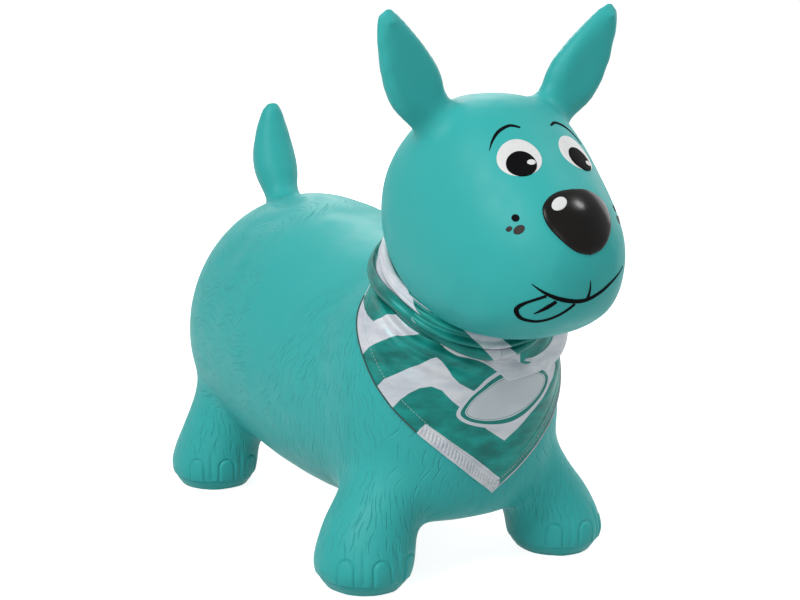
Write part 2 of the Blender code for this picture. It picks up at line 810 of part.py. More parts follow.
def bandana(tree):
    cloth = material("bandana_satin", (0.012, 0.165, 0.150), 0.38)
    upper = upper_route(tree)
    lower = lower_route(tree, upper)
    finish(roll("bandana_roll_upper", upper, UPPER_ROLL_RADIUS), cloth)
    finish(roll("bandana_roll_lower", lower, LOWER_ROLL_RADIUS), cloth)
    finish(bib(tree, lower), cloth)
    nape = ROLL_COLUMNS // 2 - KNOT_STEPS_LEFT
    middle = (upper[nape] + lower[nape]) / 2
    backs = (upper[nape].y + UPPER_ROLL_RADIUS, lower[nape].y + LOWER_ROLL_RADIUS)
    middle.y = max(backs) + KNOT_DEPTH / 2 + GAP * 3
    back, _, _, _ = tree.ray_cast(middle + Z * MODULE_LENGTH, -Z)
    middle.z = back.z + CLOTH_LIFT + KNOT_HEIGHT / 2 * (1 + knot_crease_share)
    finish(knot(middle), cloth)
    for name, sign in (("bandana_end_right", -1), ("bandana_end_left", 1)):
        finish(loose_end(name, tree, middle, sign), cloth)


# Air valve under the belly
valve_place_share = 0.20
POCKET_RADIUS = 0.0105
POCKET_DEPTH = 0.0022
BORE_RADIUS = 0.0060
BORE_DEPTH = 0.0240
FLANGE_THICKNESS = 0.0015
SEAT_DEPTH = 0.0180
SEAT_BORE = 0.0040
CAP_RADIUS = 0.0085
CAP_THICKNESS = 0.0022
STEM_RADIUS = 0.0034
STEM_LENGTH = 0.0150
RIB_HEIGHT = 0.0004
RIBS = 3
VALVE_POINTS = 32
cap_edge_shares = (0.86, 0.7)
stem_end_shares = (0.7, 0.9)
rib_place_share = 0.8


def revolve(name, profile, place, closed):
    """A profile of radii and heights turned round the object's upright axis, closed on it if open."""
    points, faces = [], []
    rows = len(profile)
    for radius, height in profile:
        for j in range(VALVE_POINTS):
            turn = 2 * math.pi * j / VALVE_POINTS
            points.append(Vector((radius * math.cos(turn), radius * math.sin(turn), height)))
    for i in range(rows if closed else rows - 1):
        a, b = i * VALVE_POINTS, (i + 1) % rows * VALVE_POINTS
        for j in range(VALVE_POINTS):
            k = (j + 1) % VALVE_POINTS
            faces.append((a + j, a + k, b + k, b + j))
    if not closed:
        faces.append(tuple(range(VALVE_POINTS)))
        faces.append(tuple(range((rows - 1) * VALVE_POINTS, rows * VALVE_POINTS)))
    obj = mesh_object(name, points, faces)
    obj.location = place
    return obj


def cut(obj, cutter):
    boolean = obj.modifiers.new("cut", "BOOLEAN")
    boolean.operation = "DIFFERENCE"
    boolean.solver = "EXACT"
    boolean.object = cutter
    settle(obj)
    bpy.data.objects.remove(cutter)


def valve(body, tree):
    bottom, _, _, _ = tree.ray_cast(Y * (valve_place_share * MODULE_LENGTH), Z)
    past = -POCKET_DEPTH * 2
    pocket = (
        (POCKET_RADIUS, past),
        (POCKET_RADIUS, POCKET_DEPTH),
        (BORE_RADIUS, POCKET_DEPTH),
        (BORE_RADIUS, BORE_DEPTH),
    )
    cut(body, revolve("valve_cutter", pocket, bottom, False))
    top = POCKET_DEPTH - GAP
    under = top - FLANGE_THICKNESS
    seat = (
        (SEAT_BORE, under),
        (POCKET_RADIUS - GAP, under),
        (POCKET_RADIUS - GAP, top),
        (BORE_RADIUS - GAP, top),
        (BORE_RADIUS - GAP, SEAT_DEPTH),
        (SEAT_BORE, SEAT_DEPTH),
    )
    vinyl = material("valve_vinyl", (0.07, 0.40, 0.39), 0.45)
    finish(revolve("valve_seat", seat, bottom, True), vinyl)
    cap = under - GAP
    plug = [
        (CAP_RADIUS * cap_edge_shares[0], cap - CAP_THICKNESS),
        (CAP_RADIUS, cap - CAP_THICKNESS * cap_edge_shares[1]),
        (CAP_RADIUS, cap),
        (STEM_RADIUS, cap),
    ]
    pitch = STEM_LENGTH / (RIBS + 1)
    for i in range(RIBS):
        middle = cap + pitch * (i + rib_place_share)
        plug.append((STEM_RADIUS, middle - RIB_HEIGHT * 2))
        plug.append((STEM_RADIUS + RIB_HEIGHT, middle))
        plug.append((STEM_RADIUS, middle + RIB_HEIGHT * 2))
    plug.append((STEM_RADIUS, cap + STEM_LENGTH * stem_end_shares[1]))
    plug.append((STEM_RADIUS * stem_end_shares[0], cap + STEM_LENGTH))
    white = material("plug_white", (0.75, 0.76, 0.76), 0.4)
    finish(revolve("valve_plug", plug, bottom, False), white)


def centre_on_floor():
    """Moves everything along Y so that the whole is centred over the origin."""
    nodes = list(bpy.context.scene.objects)
    reach = [vertex.co.y + obj.location.y for obj in nodes for vertex in obj.data.vertices]
    shift = -(min(reach) + max(reach)) / 2
    for obj in nodes:
        obj.location.y += shift
    print(f"moved along Y by {shift:.5f}")


remove_everything()
body = skin()
thin_out(body, SKIN_TRIANGLES)
unfold(body)
flatten_soles(body)
skin_tree = tree_of(body)
face(skin_tree)
bandana(skin_tree)
valve(body, skin_tree)
finish(body, material("teal_vinyl", (0.056, 0.423, 0.415), 0.42))
centre_on_floor()
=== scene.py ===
"""Looks of the inflatable bouncy dog with its bandana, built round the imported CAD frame."""

import math

import bmesh
import bpy
import numpy as np
from mathutils import Matrix, Vector
from mathutils.bvhtree import BVHTree

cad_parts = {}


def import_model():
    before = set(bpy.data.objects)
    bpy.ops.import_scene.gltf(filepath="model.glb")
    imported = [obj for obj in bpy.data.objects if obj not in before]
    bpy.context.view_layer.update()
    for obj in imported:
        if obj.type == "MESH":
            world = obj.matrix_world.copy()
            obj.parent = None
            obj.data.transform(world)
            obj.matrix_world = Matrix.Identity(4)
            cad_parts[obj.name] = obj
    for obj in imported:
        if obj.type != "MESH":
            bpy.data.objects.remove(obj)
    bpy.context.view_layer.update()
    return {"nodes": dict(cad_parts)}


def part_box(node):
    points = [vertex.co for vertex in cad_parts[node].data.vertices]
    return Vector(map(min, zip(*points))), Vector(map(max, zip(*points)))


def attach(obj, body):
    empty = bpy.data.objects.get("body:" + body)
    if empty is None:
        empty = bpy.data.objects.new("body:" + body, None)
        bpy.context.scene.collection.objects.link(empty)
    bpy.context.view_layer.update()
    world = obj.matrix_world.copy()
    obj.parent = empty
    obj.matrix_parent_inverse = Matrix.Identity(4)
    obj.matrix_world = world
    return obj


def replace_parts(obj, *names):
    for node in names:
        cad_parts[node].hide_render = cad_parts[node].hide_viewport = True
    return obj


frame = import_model()

BODY = "animal"

# Middle of the whole, along the animal, that the places below are counted from
SHIFT_Y = 0.04957
X, Z = Vector((1, 0, 0)), Vector((0, 0, 1))
TURN = 2 * math.pi


# Node material helpers


class Shader:
    """The node tree of a new material, or of the world, with short calls that add and link nodes."""

    def __init__(self, owner, surface="Principled BSDF"):
        self.owner = bpy.data.materials.new(owner) if isinstance(owner, str) else owner
        self.owner.use_nodes = True
        self.nodes = self.owner.node_tree.nodes
        self.surface = self.nodes[surface]

    def add(self, kind, inputs=None, **settings):
        node = self.nodes.new(kind)
        for key, value in settings.items():
            setattr(node, key, value)
        for key, value in (inputs or {}).items():
            self.put(node.inputs[key], value)
        return node

    def put(self, socket, value):
        """Links an output to the socket, or sets the socket to a value. A colour is three numbers."""
        if isinstance(value, bpy.types.NodeSocket):
            self.owner.node_tree.links.new(value, socket)
        else:
            socket.default_value = (*value, 1) if socket.type == "RGBA" else value

    def set(self, **values):
        for key, value in values.items():
            self.put(self.surface.inputs[key.replace("_", " ")], value)

    def place(self):
        return self.add("ShaderNodeTexCoord").outputs["Object"]

    def attribute(self, name, kind="Vector"):
        return self.add("ShaderNodeAttribute", attribute_name=name).outputs[kind]

    def math(self, operation, *values, clamp=False):
        inputs = dict(enumerate(values))
        return self.add("ShaderNodeMath", inputs, operation=operation, use_clamp=clamp).outputs[0]

    def parts(self, vector):
        return self.add("ShaderNodeSeparateXYZ", {"Vector": vector}).outputs

    def noise(self, vector, scale, detail=2.0, roughness=0.5):
        inputs = {"Vector": vector, "Scale": scale, "Detail": detail, "Roughness": roughness}
        return self.add("ShaderNodeTexNoise", inputs).outputs["Fac"]

    def lines(self, vector, scale, distortion):
        inputs = {"Vector": vector, "Scale": scale, "Distortion": distortion}
        return self.add("ShaderNodeTexWave", inputs, bands_direction="DIAGONAL").outputs["Fac"]

    def ramp(self, value, stops, interpolation="LINEAR"):
        """A colour, read off at the stops' places."""
        node = self.add("ShaderNodeValToRGB", {"Fac": value})
        band = node.color_ramp
        band.interpolation = interpolation
        while len(band.elements) < len(stops):
            band.elements.new(0.5)
        for element, (at, shade) in zip(band.elements, stops):
            element.position, element.color = at, (*shade, 1)
        return node.outputs["Color"]

    def mix(self, share, first, second):
        return self.add("ShaderNodeMix", {0: share, 6: first, 7: second}, data_type="RGBA").outputs[2]

    def smooth_step(self, value, low, high, out_low=0.0, out_high=1.0):
        inputs = {"Value": value, "From Min": low, "From Max": high, "To Min": out_low, "To Max": out_high}
        return self.add("ShaderNodeMapRange", inputs, interpolation_type="SMOOTHSTEP").outputs[0]

    def bump(self, height, strength, distance, normal=None):
        inputs = {"Height": height, "Strength": strength, "Distance": distance}
        if normal is not None:
            inputs["Normal"] = normal
        return self.add("ShaderNodeBump", inputs).outputs["Normal"]


# Materials. A relief is the bump's strength and height in metres, a stop a place on a ramp and its
# colour, and a gloss the range of the noise and of the roughness that it gives.

TEAL = (0.036, 0.425, 0.412)
TEAL_DEEP = (0.026, 0.365, 0.356)
TEAL_EVEN = 0.75
VINYL_GLOSS = (0.2, 0.8, 0.44, 0.56)
VINYL_SPECULAR = 0.24
PIT_RELIEF = (0.1, 0.0004)
FLOWS = ("flank_flow", "back_flow", "chest_flow", "leg_flow", "rump_flow")
FLOW_SEED = 3.7

# Moulded strokes: size of a cell, wander of the flow, scatter, how they bow and lean, and then
# reach, half width and depth, each as what chance or taper adds and the least
STROKE_WIDTH = 0.0056
STROKE_LENGTH = 0.0185
STROKE_DRIFT = 0.02
STROKE_SCATTER = 0.85
STROKE_BOW = 3.2
STROKE_LEAN = 0.5
STROKE_REACH = (0.14, 0.3)
STROKE_HALF = (0.17, 0.0001)
STROKE_DEPTH = (0.6, 0.5)
STROKE_RELIEF = (0.66, 0.0013)


def flow_strokes(shader, flow, seed):
    """Moulded strokes along a flow: its vector holds the way across, the way along and the weight."""
    sums = shader.math
    across, along, weight = shader.parts(shader.attribute(flow))
    place = shader.add("ShaderNodeCombineXYZ", {"X": across, "Y": along, "Z": seed}).outputs[0]
    across = sums("MULTIPLY_ADD", shader.noise(place, 30.0, 1.0), STROKE_DRIFT, across)
    cell = {"X": sums("DIVIDE", across, STROKE_WIDTH), "Y": sums("DIVIDE", along, STROKE_LENGTH)}
    cell = shader.add("ShaderNodeCombineXYZ", cell).outputs[0]
    inputs = {"Vector": cell, "Scale": 1.0, "Randomness": STROKE_SCATTER}
    cells = shader.add("ShaderNodeTexVoronoi", inputs, voronoi_dimensions="2D").outputs
    here = shader.add("ShaderNodeVectorMath", {0: cell, 1: cells["Position"]}, operation="SUBTRACT")
    a, b, _ = shader.parts(here.outputs[0])
    bent, leant, long = shader.add("ShaderNodeSeparateColor", {"Color": cells["Color"]}).outputs
    square = sums("MULTIPLY", b, b)
    bow = sums("MULTIPLY", sums("SUBTRACT", bent, 0.5), sums("MULTIPLY", square, STROKE_BOW))
    lean = sums("MULTIPLY", sums("SUBTRACT", leant, 0.5), sums("MULTIPLY", b, STROKE_LEAN))
    off = sums("ABSOLUTE", sums("ADD", a, sums("ADD", bow, lean)))
    reach = sums("MULTIPLY_ADD", long, *STROKE_REACH)
    taper = sums("SUBTRACT", 1.0, sums("DIVIDE", square, sums("MULTIPLY", reach, reach)), clamp=True)
    wide = sums("MULTIPLY_ADD", taper, *STROKE_HALF)
    groove = sums("SUBTRACT", 1.0, sums("DIVIDE", off, wide), clamp=True)
    depth = sums("MULTIPLY_ADD", long, *STROKE_DEPTH)
    return sums("MULTIPLY", sums("MULTIPLY", groove, depth), weight)


def vinyl():
    shader = Shader("teal_vinyl")
    place = shader.place()
    tint = shader.ramp(shader.noise(place, 14.0, 3.0), ((0.3, TEAL_DEEP), (0.72, TEAL)))
    gloss = shader.smooth_step(shader.noise(place, 55.0, 4.0), *VINYL_GLOSS)
    shader.set(Base_Color=shader.mix(TEAL_EVEN, tint, TEAL), Roughness=gloss, Specular_IOR_Level=VINYL_SPECULAR)
    groove = 0.0
    for seed, flow in enumerate(FLOWS):
        groove = shader.math("ADD", groove, flow_strokes(shader, flow, seed * FLOW_SEED))
    skin = shader.bump(shader.noise(place, 900.0), *PIT_RELIEF)
    shader.set(Normal=shader.bump(shader.math("MULTIPLY", groove, -1.0), *STROKE_RELIEF, skin))
    return shader.owner


def coat(name, cloud, stops, grain, relief, gloss, level=0.5, gloss_from_grain=False):
    """A smooth coat: a colour that clouds between the stops, a fine grain, and a gloss that wanders."""
    shader = Shader(name)
    cloud = shader.noise(shader.place(), *cloud)
    grain = shader.noise(shader.place(), grain)
    shader.set(Base_Color=shader.ramp(cloud, stops), Normal=shader.bump(grain, *relief))
    gloss = shader.smooth_step(grain if gloss_from_grain else cloud, *gloss)
    shader.set(Roughness=gloss, Specular_IOR_Level=level)
    return shader.owner


def darker(colour, share):
    return tuple(c * share for c in colour)


def print_ink(name, colour, roughness, mottle=0.12, level=0.3):
    """Painted print: nearly even, with the faint mottle of a sprayed coat."""
    stops = ((0.35, darker(colour, 1 - mottle)), (0.65, colour))
    gloss = (0.2, 0.8, roughness, roughness + 0.08)
    return coat(name, (260.0, 3.0), stops, 700.0, (0.05, 0.0003), gloss, level, True)


def nose_gloss():
    stops = ((0.3, (0.003, 0.003, 0.003)), (0.75, (0.009, 0.007, 0.006)))
    return coat("nose_gloss", (22.0, 4.0), stops, 420.0, (0.04, 0.0003), (0.3, 0.8, 0.16, 0.3), 0.12)


def plastic(name, colour, roughness):
    stops = ((0.3, darker(colour, 0.9)), (0.7, colour))
    return coat(name, (120.0, 3.0), stops, 1500.0, (0.15, 0.0002), (0.2, 0.8, roughness, roughness + 0.1))


def thread(name, colour):
    shader = Shader(name)
    twist = shader.lines(shader.place(), 900.0, 2.0)
    # The colour darkens where the twist's bump is low, in the grooves between the strands: painted shade.
    shader.set(Base_Color=shader.ramp(twist, ((0.2, darker(colour, 0.75)), (0.8, colour))))
    shader.set(Normal=shader.bump(twist, 0.4, 0.0003), Roughness=0.7, Sheen_Weight=0.3)
    return shader.owner


# The cloth and its blank badge: an oval, pointed a little, with pale and teal bands round its edge. The cloth's
# teals and pales each run from dark to bright: painted satin sheen and painted shade, in streaks of stretched
# noise that don't follow the folds.
SATIN_TEALS_PAINTED_SHEEN = ((0.34, (0.003, 0.1, 0.088)), (0.66, (0.01, 0.27, 0.235)))
SATIN_PALES_PAINTED_SHEEN = ((0.34, (0.54, 0.55, 0.62)), (0.66, (0.74, 0.74, 0.78)))
CLOTH_GLOSS = (0.2, 0.8, 0.3, 0.4)
CLOTH_TINT = (0.3, 1.0, 0.94)
TWILL_RELIEF = (0.1, 0.0002)
CREASE_RELIEF = (0.5, 0.0026)
PRINT_BLUR = 0.0002
BADGE_PLACE = (0.0108, 0.1632)
BADGE_REACH = (0.0412, 0.016)
BADGE_LEAN = 12
BADGE_POINT = 1.72
BADGE_EDGE = (0.0093, 0.009)
BADGE_RAMP = (50.0, 0.5)
BADGE_BANDS = (
    (0.00, (0.57, 0.59, 0.63)),
    (0.5, (0.01, 0.17, 0.15)),
    (0.525, (0.66, 0.67, 0.72)),
    (0.575, (0.006, 0.15, 0.13)),
    (0.77, (0.66, 0.66, 0.72)),
)


def oval_distance(shader, cloth):
    """Distance from the outline of the blank oval on the cloth, less than zero inside it."""
    sums = shader.math
    s, z, _ = shader.parts(cloth)
    a, b = sums("SUBTRACT", s, BADGE_PLACE[0]), sums("SUBTRACT", z, BADGE_PLACE[1])
    c, d = math.cos(math.radians(BADGE_LEAN)), math.sin(math.radians(BADGE_LEAN))
    along = sums("ADD", sums("MULTIPLY", a, c), sums("MULTIPLY", b, d))
    across = sums("SUBTRACT", sums("MULTIPLY", b, c), sums("MULTIPLY", a, d))
    shares = []
    for value, reach in zip((along, across), BADGE_REACH):
        shares.append(sums("POWER", sums("ABSOLUTE", sums("DIVIDE", value, reach)), BADGE_POINT))
    norm = sums("MAXIMUM", sums("POWER", sums("ADD", *shares), 1 / BADGE_POINT), 0.0001)
    far = sums("SQRT", sums("ADD", sums("MULTIPLY", along, along), sums("MULTIPLY", across, across)))
    return sums("MULTIPLY", far, sums("SUBTRACT", 1.0, sums("DIVIDE", 1.0, norm)))


def satin():
    """Printed satin: white where the cloth's print value is over zero, teal elsewhere, each streaked lighter and
    darker as painted sheen and painted shade.
    """
    shader = Shader("bandana_satin")
    cloth = shader.attribute("cloth_place")
    white = shader.smooth_step(shader.attribute("print_value", "Fac"), -PRINT_BLUR, PRINT_BLUR)
    long = shader.add("ShaderNodeVectorMath", {0: cloth, 1: (1.0, 2.4, 1.0)}, operation="MULTIPLY")
    # shade is stretched noise: it streaks the colour lighter and darker as painted satin sheen and painted shade,
    # and it also sets the roughness
    shade = shader.noise(long.outputs[0], 30.0, 3.0, 0.6)
    colour = shader.mix(white, shader.ramp(shade, SATIN_TEALS_PAINTED_SHEEN), shader.ramp(shade, SATIN_PALES_PAINTED_SHEEN))
    badge = oval_distance(shader, cloth)
    ring = shader.ramp(shader.math("MULTIPLY_ADD", badge, *BADGE_RAMP), BADGE_BANDS, "CONSTANT")
    colour = shader.mix(shader.smooth_step(badge, *BADGE_EDGE), colour, ring)
    twill = shader.bump(shader.lines(cloth, 520.0, 0.6), *TWILL_RELIEF)
    relief = shader.bump(shader.noise(cloth, 34.0, 3.0), *CREASE_RELIEF, twill)
    shader.set(Base_Color=colour, Normal=relief, Roughness=shader.smooth_step(shade, *CLOTH_GLOSS))
    shader.set(Specular_IOR_Level=0.55, Anisotropic=0.5, Specular_Tint=CLOTH_TINT)
    return shader.owner


# Mesh helpers


def linked(name, data):
    """A new object in the scene."""
    piece = bpy.data.objects.new(name, data)
    bpy.context.scene.collection.objects.link(piece)
    return piece


def dress(piece, look):
    """Gives the piece one material and smooth shading."""
    piece.data.materials.clear()
    piece.data.materials.append(look)
    piece.data.polygons.foreach_set("use_smooth", [True] * len(piece.data.polygons))


def mesh_piece(name, points, faces, look):
    data = bpy.data.meshes.new(name)
    data.from_pydata([tuple(p) for p in points], [], faces)
    piece = linked(name, data)
    dress(piece, look)
    data.update()
    return piece


def grid_faces(rows, width, start=0, loop=False, ring=True):
    """Faces between rows of points. loop joins the last row to the first, ring the ends of each row."""
    faces = []
    for i in range(rows if loop else rows - 1):
        for j in range(width if ring else width - 1):
            a, b, k = start + i * width, start + (i + 1) % rows * width, (j + 1) % width
            faces.append((a + j, a + k, b + k, b + j))
    return faces


def closed_tube(rows, width, start=0):
    """Faces of a tube round rows of points, with both its ends."""
    last = start + (rows - 1) * width
    ends = [tuple(range(first, first + width)) for first in (start, last)]
    return grid_faces(rows, width, start) + ends


def turned_out(piece):
    """Turns the faces of a closed piece outwards."""
    mesh = bmesh.new()
    mesh.from_mesh(piece.data)
    bmesh.ops.recalc_face_normals(mesh, faces=mesh.faces)
    mesh.to_mesh(piece.data)
    mesh.free()
    return piece


def settle(piece):
    """Applies the piece's modifiers to its mesh."""
    graph = bpy.context.evaluated_depsgraph_get()
    graph.update()
    made = bpy.data.meshes.new_from_object(piece.evaluated_get(graph), depsgraph=graph)
    piece.modifiers.clear()
    piece.data = made


def remeshed(piece, voxel):
    """The piece with its mesh made anew in even voxels."""
    remesh = piece.modifiers.new("remesh", "REMESH")
    remesh.mode, remesh.voxel_size = "VOXEL", voxel
    settle(piece)
    return piece


def points_of(mesh, kind="co"):
    """Every point of the mesh, or its normal."""
    flat = np.empty(len(mesh.vertices) * 3)
    mesh.vertices.foreach_get(kind, flat)
    return flat.reshape(-1, 3)


def put_points(mesh, points):
    mesh.vertices.foreach_set("co", np.asarray(points, float).ravel())
    mesh.update()


def relax(mesh, passes, share=None, ease=0.5, firm=-0.52):
    """Taubin smoothing: short waves go, the long form and its volume stay."""
    points = points_of(mesh)
    ends = np.empty(len(mesh.edges) * 2, int)
    mesh.edges.foreach_get("vertices", ends)
    ends = ends.reshape(-1, 2)
    count = np.bincount(ends.ravel(), minlength=len(points)).clip(1)[:, None]
    for turn in range(passes * 2):
        total = np.zeros_like(points)
        for axis in range(3):
            column = points[:, axis]
            total[:, axis] = np.bincount(ends[:, 0], column[ends[:, 1]], len(points))
            total[:, axis] += np.bincount(ends[:, 1], column[ends[:, 0]], len(points))
        move = (total / count - points) * (ease if turn % 2 == 0 else firm)
        points = points + (move if share is None else move * share[:, None])
    put_points(mesh, points)
    return points


def set_layer(mesh, name, values):
    """Stores a number for each point, or a vector where the values have rows."""
    values = np.asarray(values, np.float32)
    kind, key = ("FLOAT_VECTOR", "vector") if values.ndim > 1 else ("FLOAT", "value")
    mesh.attributes.new(name, kind, "POINT").data.foreach_set(key, values.ravel())


def tree_of(piece):
    mesh = piece.data
    return BVHTree.FromPolygons([v.co for v in mesh.vertices], [p.vertices[:] for p in mesh.polygons])


# Curves and lines


def step(values, low, high):
    """Smooth step of an array from 0 at low to 1 at high."""
    t = np.clip((values - low) / (high - low), 0, 1)
    return t * t * (3 - 2 * t)


def bell(offset, width, power=2):
    """1 at no offset, which fades to 0 past the width."""
    return np.exp(-((offset / width) ** power))


def on_line(at, line, **outside):
    """The height of a line of points at each place."""
    return np.interp(at, *zip(*line), **outside)


def passed_along(line):
    """How far along the line each of its points lies."""
    return np.concatenate([[0], np.cumsum(np.linalg.norm(np.diff(line, axis=0), axis=1))])


def wrapped(value, whole):
    return (value + whole / 2) % whole - whole / 2


def smooth_rows(rows, steps=12):
    """Rows of numbers, with steps - 1 more between each two on a Catmull-Rom curve."""
    finer = []
    for i in range(len(rows) - 1):
        a, b, c, d = rows[max(i - 1, 0)], rows[i], rows[i + 1], rows[min(i + 2, len(rows) - 1)]
        for s in range(steps):
            t = s / steps
            row = []
            for p, q, r, u in zip(a, b, c, d):
                bend = 2 * p - 5 * q + 4 * r - u
                twist = 3 * q - p - 3 * r + u
                row.append((2 * q + (r - p) * t + bend * t**2 + twist * t**3) / 2)
            finer.append(row)
    finer.append(list(rows[-1]))
    return finer


# Skin

SKIN_VOXEL = 0.0048
SKIN_PASSES = 22
PLUG_FILL_RADIUS = 0.0125
PLUG_FILL_HEIGHT = 0.027
PLUG_FILL_SINK = 0.0004
POCKET_PLAY = 0.0003
POCKET_WALL = 0.0026
LEG_Y = 0.159
FOOT_X = 0.097
FOOT_PLACES = (SHIFT_Y - LEG_Y, SHIFT_Y + LEG_Y)
FOOT_REACH = 0.062
FOOT_TOP = 0.046
FOOT_PASSES = 5
SOLE_STEP = 0.0012
SOLE_RING_Z = 0.0105
SOLE_RING_SLOPE = 0.0006
SOLE_RING_DEPTH = 0.0006
SOLE_RING_WIDTH = 0.0009
NAIL_TURNS = (-32, 7, 48)
NAIL_HALF_WIDTH = 0.0078
NAIL_TOP = 0.0335
NAIL_GROOVE = 0.0011
NAIL_LINE = 0.0011
NAIL_PLATE = 0.0005
TOE_TURNS = (-12.5, 27.5)
TOE_TOP = 0.055
TOE_FURROW = 0.0009
TOE_LINE = 0.0022


def fine_skin(look):
    """The skin at fine steps: the node's form, its facets smoothed away."""
    node = frame["nodes"]["inflatable_skin"]
    mesh = bmesh.new()
    mesh.from_mesh(node.data)
    bmesh.ops.remove_doubles(mesh, verts=mesh.verts, dist=1e-6)
    low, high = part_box("valve_seat")
    middle = (low + high) / 2
    rise = Matrix.Translation((middle.x, middle.y, low.z - PLUG_FILL_SINK + PLUG_FILL_HEIGHT / 2))
    radii = {"radius1": PLUG_FILL_RADIUS, "radius2": PLUG_FILL_RADIUS, "depth": PLUG_FILL_HEIGHT}
    bmesh.ops.create_cone(mesh, cap_ends=True, segments=48, matrix=rise, **radii)
    data = bpy.data.meshes.new("dog_skin")
    mesh.to_mesh(data)
    mesh.free()
    piece = remeshed(linked("dog_skin", data), SKIN_VOXEL)
    on_floor(piece.data, relax(piece.data, SKIN_PASSES))
    finer = piece.modifiers.new("finer", "SUBSURF")
    finer.levels = finer.render_levels = 1
    settle(piece)
    refine_feet(piece)
    points, normals = points_of(piece.data), points_of(piece.data, "normal")
    on_floor(piece.data, points - normals * foot_relief(points)[:, None])
    open_pocket(piece)
    set_flows(piece.data)
    dress(piece, look)
    return piece


def on_floor(mesh, points):
    """Puts the points in the mesh, none of them below the floor."""
    points[:, 2] = np.maximum(points[:, 2], 0)
    put_points(mesh, points)


def foot_share(points, reach, top):
    """1 near a foot, 0 elsewhere."""
    away = np.abs(points[:, 0]) - FOOT_X
    near = [np.hypot(away, points[:, 1] - y) < reach for y in FOOT_PLACES]
    return np.logical_or(*near) & (points[:, 2] < top)


def refine_feet(piece):
    mesh = bmesh.new()
    mesh.from_mesh(piece.data)
    for top in (FOOT_TOP, FOOT_TOP - 0.004):
        inside = foot_share(np.array([v.co for v in mesh.verts]), FOOT_REACH, top)
        chosen = [e for e in mesh.edges if inside[e.verts[0].index] and inside[e.verts[1].index]]
        bmesh.ops.subdivide_edges(mesh, edges=chosen, cuts=1, use_grid_fill=True)
        mesh.verts.index_update()
    mesh.to_mesh(piece.data)
    mesh.free()
    points = points_of(piece.data)
    share = foot_share(points, FOOT_REACH + 0.004, FOOT_TOP + 0.002).astype(float)
    share[points[:, 2] < 0.0002] = 0
    relax(piece.data, FOOT_PASSES, share)


def foot_relief(points):
    """How far the skin sinks at a foot: nails, furrows between the toes, and the step above the sole."""
    z = points[:, 2]
    across = np.abs(points[:, 0]) - FOOT_X
    above = step(z, SOLE_RING_Z - SOLE_RING_SLOPE, SOLE_RING_Z + SOLE_RING_SLOPE)
    sole = SOLE_STEP * (1 - above) * step(z, 0.0, 0.003)
    sole += SOLE_RING_DEPTH * bell(z - SOLE_RING_Z, SOLE_RING_WIDTH)
    depth = np.zeros(len(points))
    for y in FOOT_PLACES:
        along = y - points[:, 1]
        radius = np.hypot(across, along)
        near = radius < FOOT_REACH
        edge = near * (z < FOOT_TOP)
        turn = np.degrees(np.arctan2(across, along))
        radius = radius.clip(0.001)
        depth += edge * sole
        for nail in NAIL_TURNS:
            q = np.radians(turn - nail) * radius
            over = z - NAIL_TOP + NAIL_HALF_WIDTH
            distance = np.where(over < 0, np.abs(q), np.hypot(q, over)) - NAIL_HALF_WIDTH
            line = bell(distance, NAIL_LINE) * step(z, SOLE_RING_Z, SOLE_RING_Z + 0.002)
            plate = (1 - step(distance, -0.003, 0.0)) * step(z, SOLE_RING_Z, SOLE_RING_Z + 0.001)
            depth += edge * (NAIL_GROOVE * line - NAIL_PLATE * plate)
        for toe in TOE_TURNS:
            line = bell(np.radians(turn - toe) * radius, TOE_LINE)
            line *= step(z, SOLE_RING_Z, 0.016) * (1 - step(z, 0.036, 0.05))
            depth += near * (z < TOE_TOP) * TOE_FURROW * line
    return depth


def open_pocket(piece):
    """Cuts the round recess under the belly that the valve's seat and plug stand in."""
    low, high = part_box("valve_seat")
    middle = (low + high) / 2
    radius = (high.x - low.x) / 2 + POCKET_PLAY
    mesh = bmesh.new()
    mesh.from_mesh(piece.data)
    inside = []
    for face in mesh.faces:
        centre = face.calc_center_median()
        off = math.hypot(centre.x - middle.x, centre.y - middle.y)
        if off < radius and centre.z < middle.z + PLUG_FILL_HEIGHT:
            inside.append(face)
    bmesh.ops.delete(mesh, geom=inside, context="FACES")
    rim = [edge for edge in mesh.edges if edge.is_boundary]
    for vertex in {vertex for edge in rim for vertex in edge.verts}:
        away = Vector((vertex.co.x - middle.x, vertex.co.y - middle.y, 0)).normalized() * radius
        vertex.co.x, vertex.co.y = middle.x + away.x, middle.y + away.y
    made = bmesh.ops.extrude_edge_only(mesh, edges=rim)
    for item in made["geom"]:
        if isinstance(item, bmesh.types.BMVert):
            item.co.z += POCKET_WALL
    bmesh.ops.recalc_face_normals(mesh, faces=mesh.faces)
    mesh.to_mesh(piece.data)
    mesh.free()


# Flows of the strokes: the points that they turn round, and how long a radian is in metres
HEAD_Y, HEAD_Z = -0.135, 0.315
CHEST_TOP_Z = 0.36
RUMP_Y = 0.06
LEG_AXIS_X = 0.074
FLANK_RADIAN, CHEST_RADIAN, RUMP_RADIAN, LEG_RADIAN = 0.19, 0.16, 0.145, 0.052
# The smooth saddle lies between the strokes of the shoulder and those of the rump: height, place along
SHOULDER_EDGE = ((0.15, 0.01), (0.185, -0.021), (0.231, -0.045), (0.252, -0.069), (0.29, -0.075))
RUMP_EDGE = ((0.15, 0.022), (0.176, 0.025), (0.218, 0.037), (0.249, 0.055), (0.271, 0.052), (0.29, 0.045))


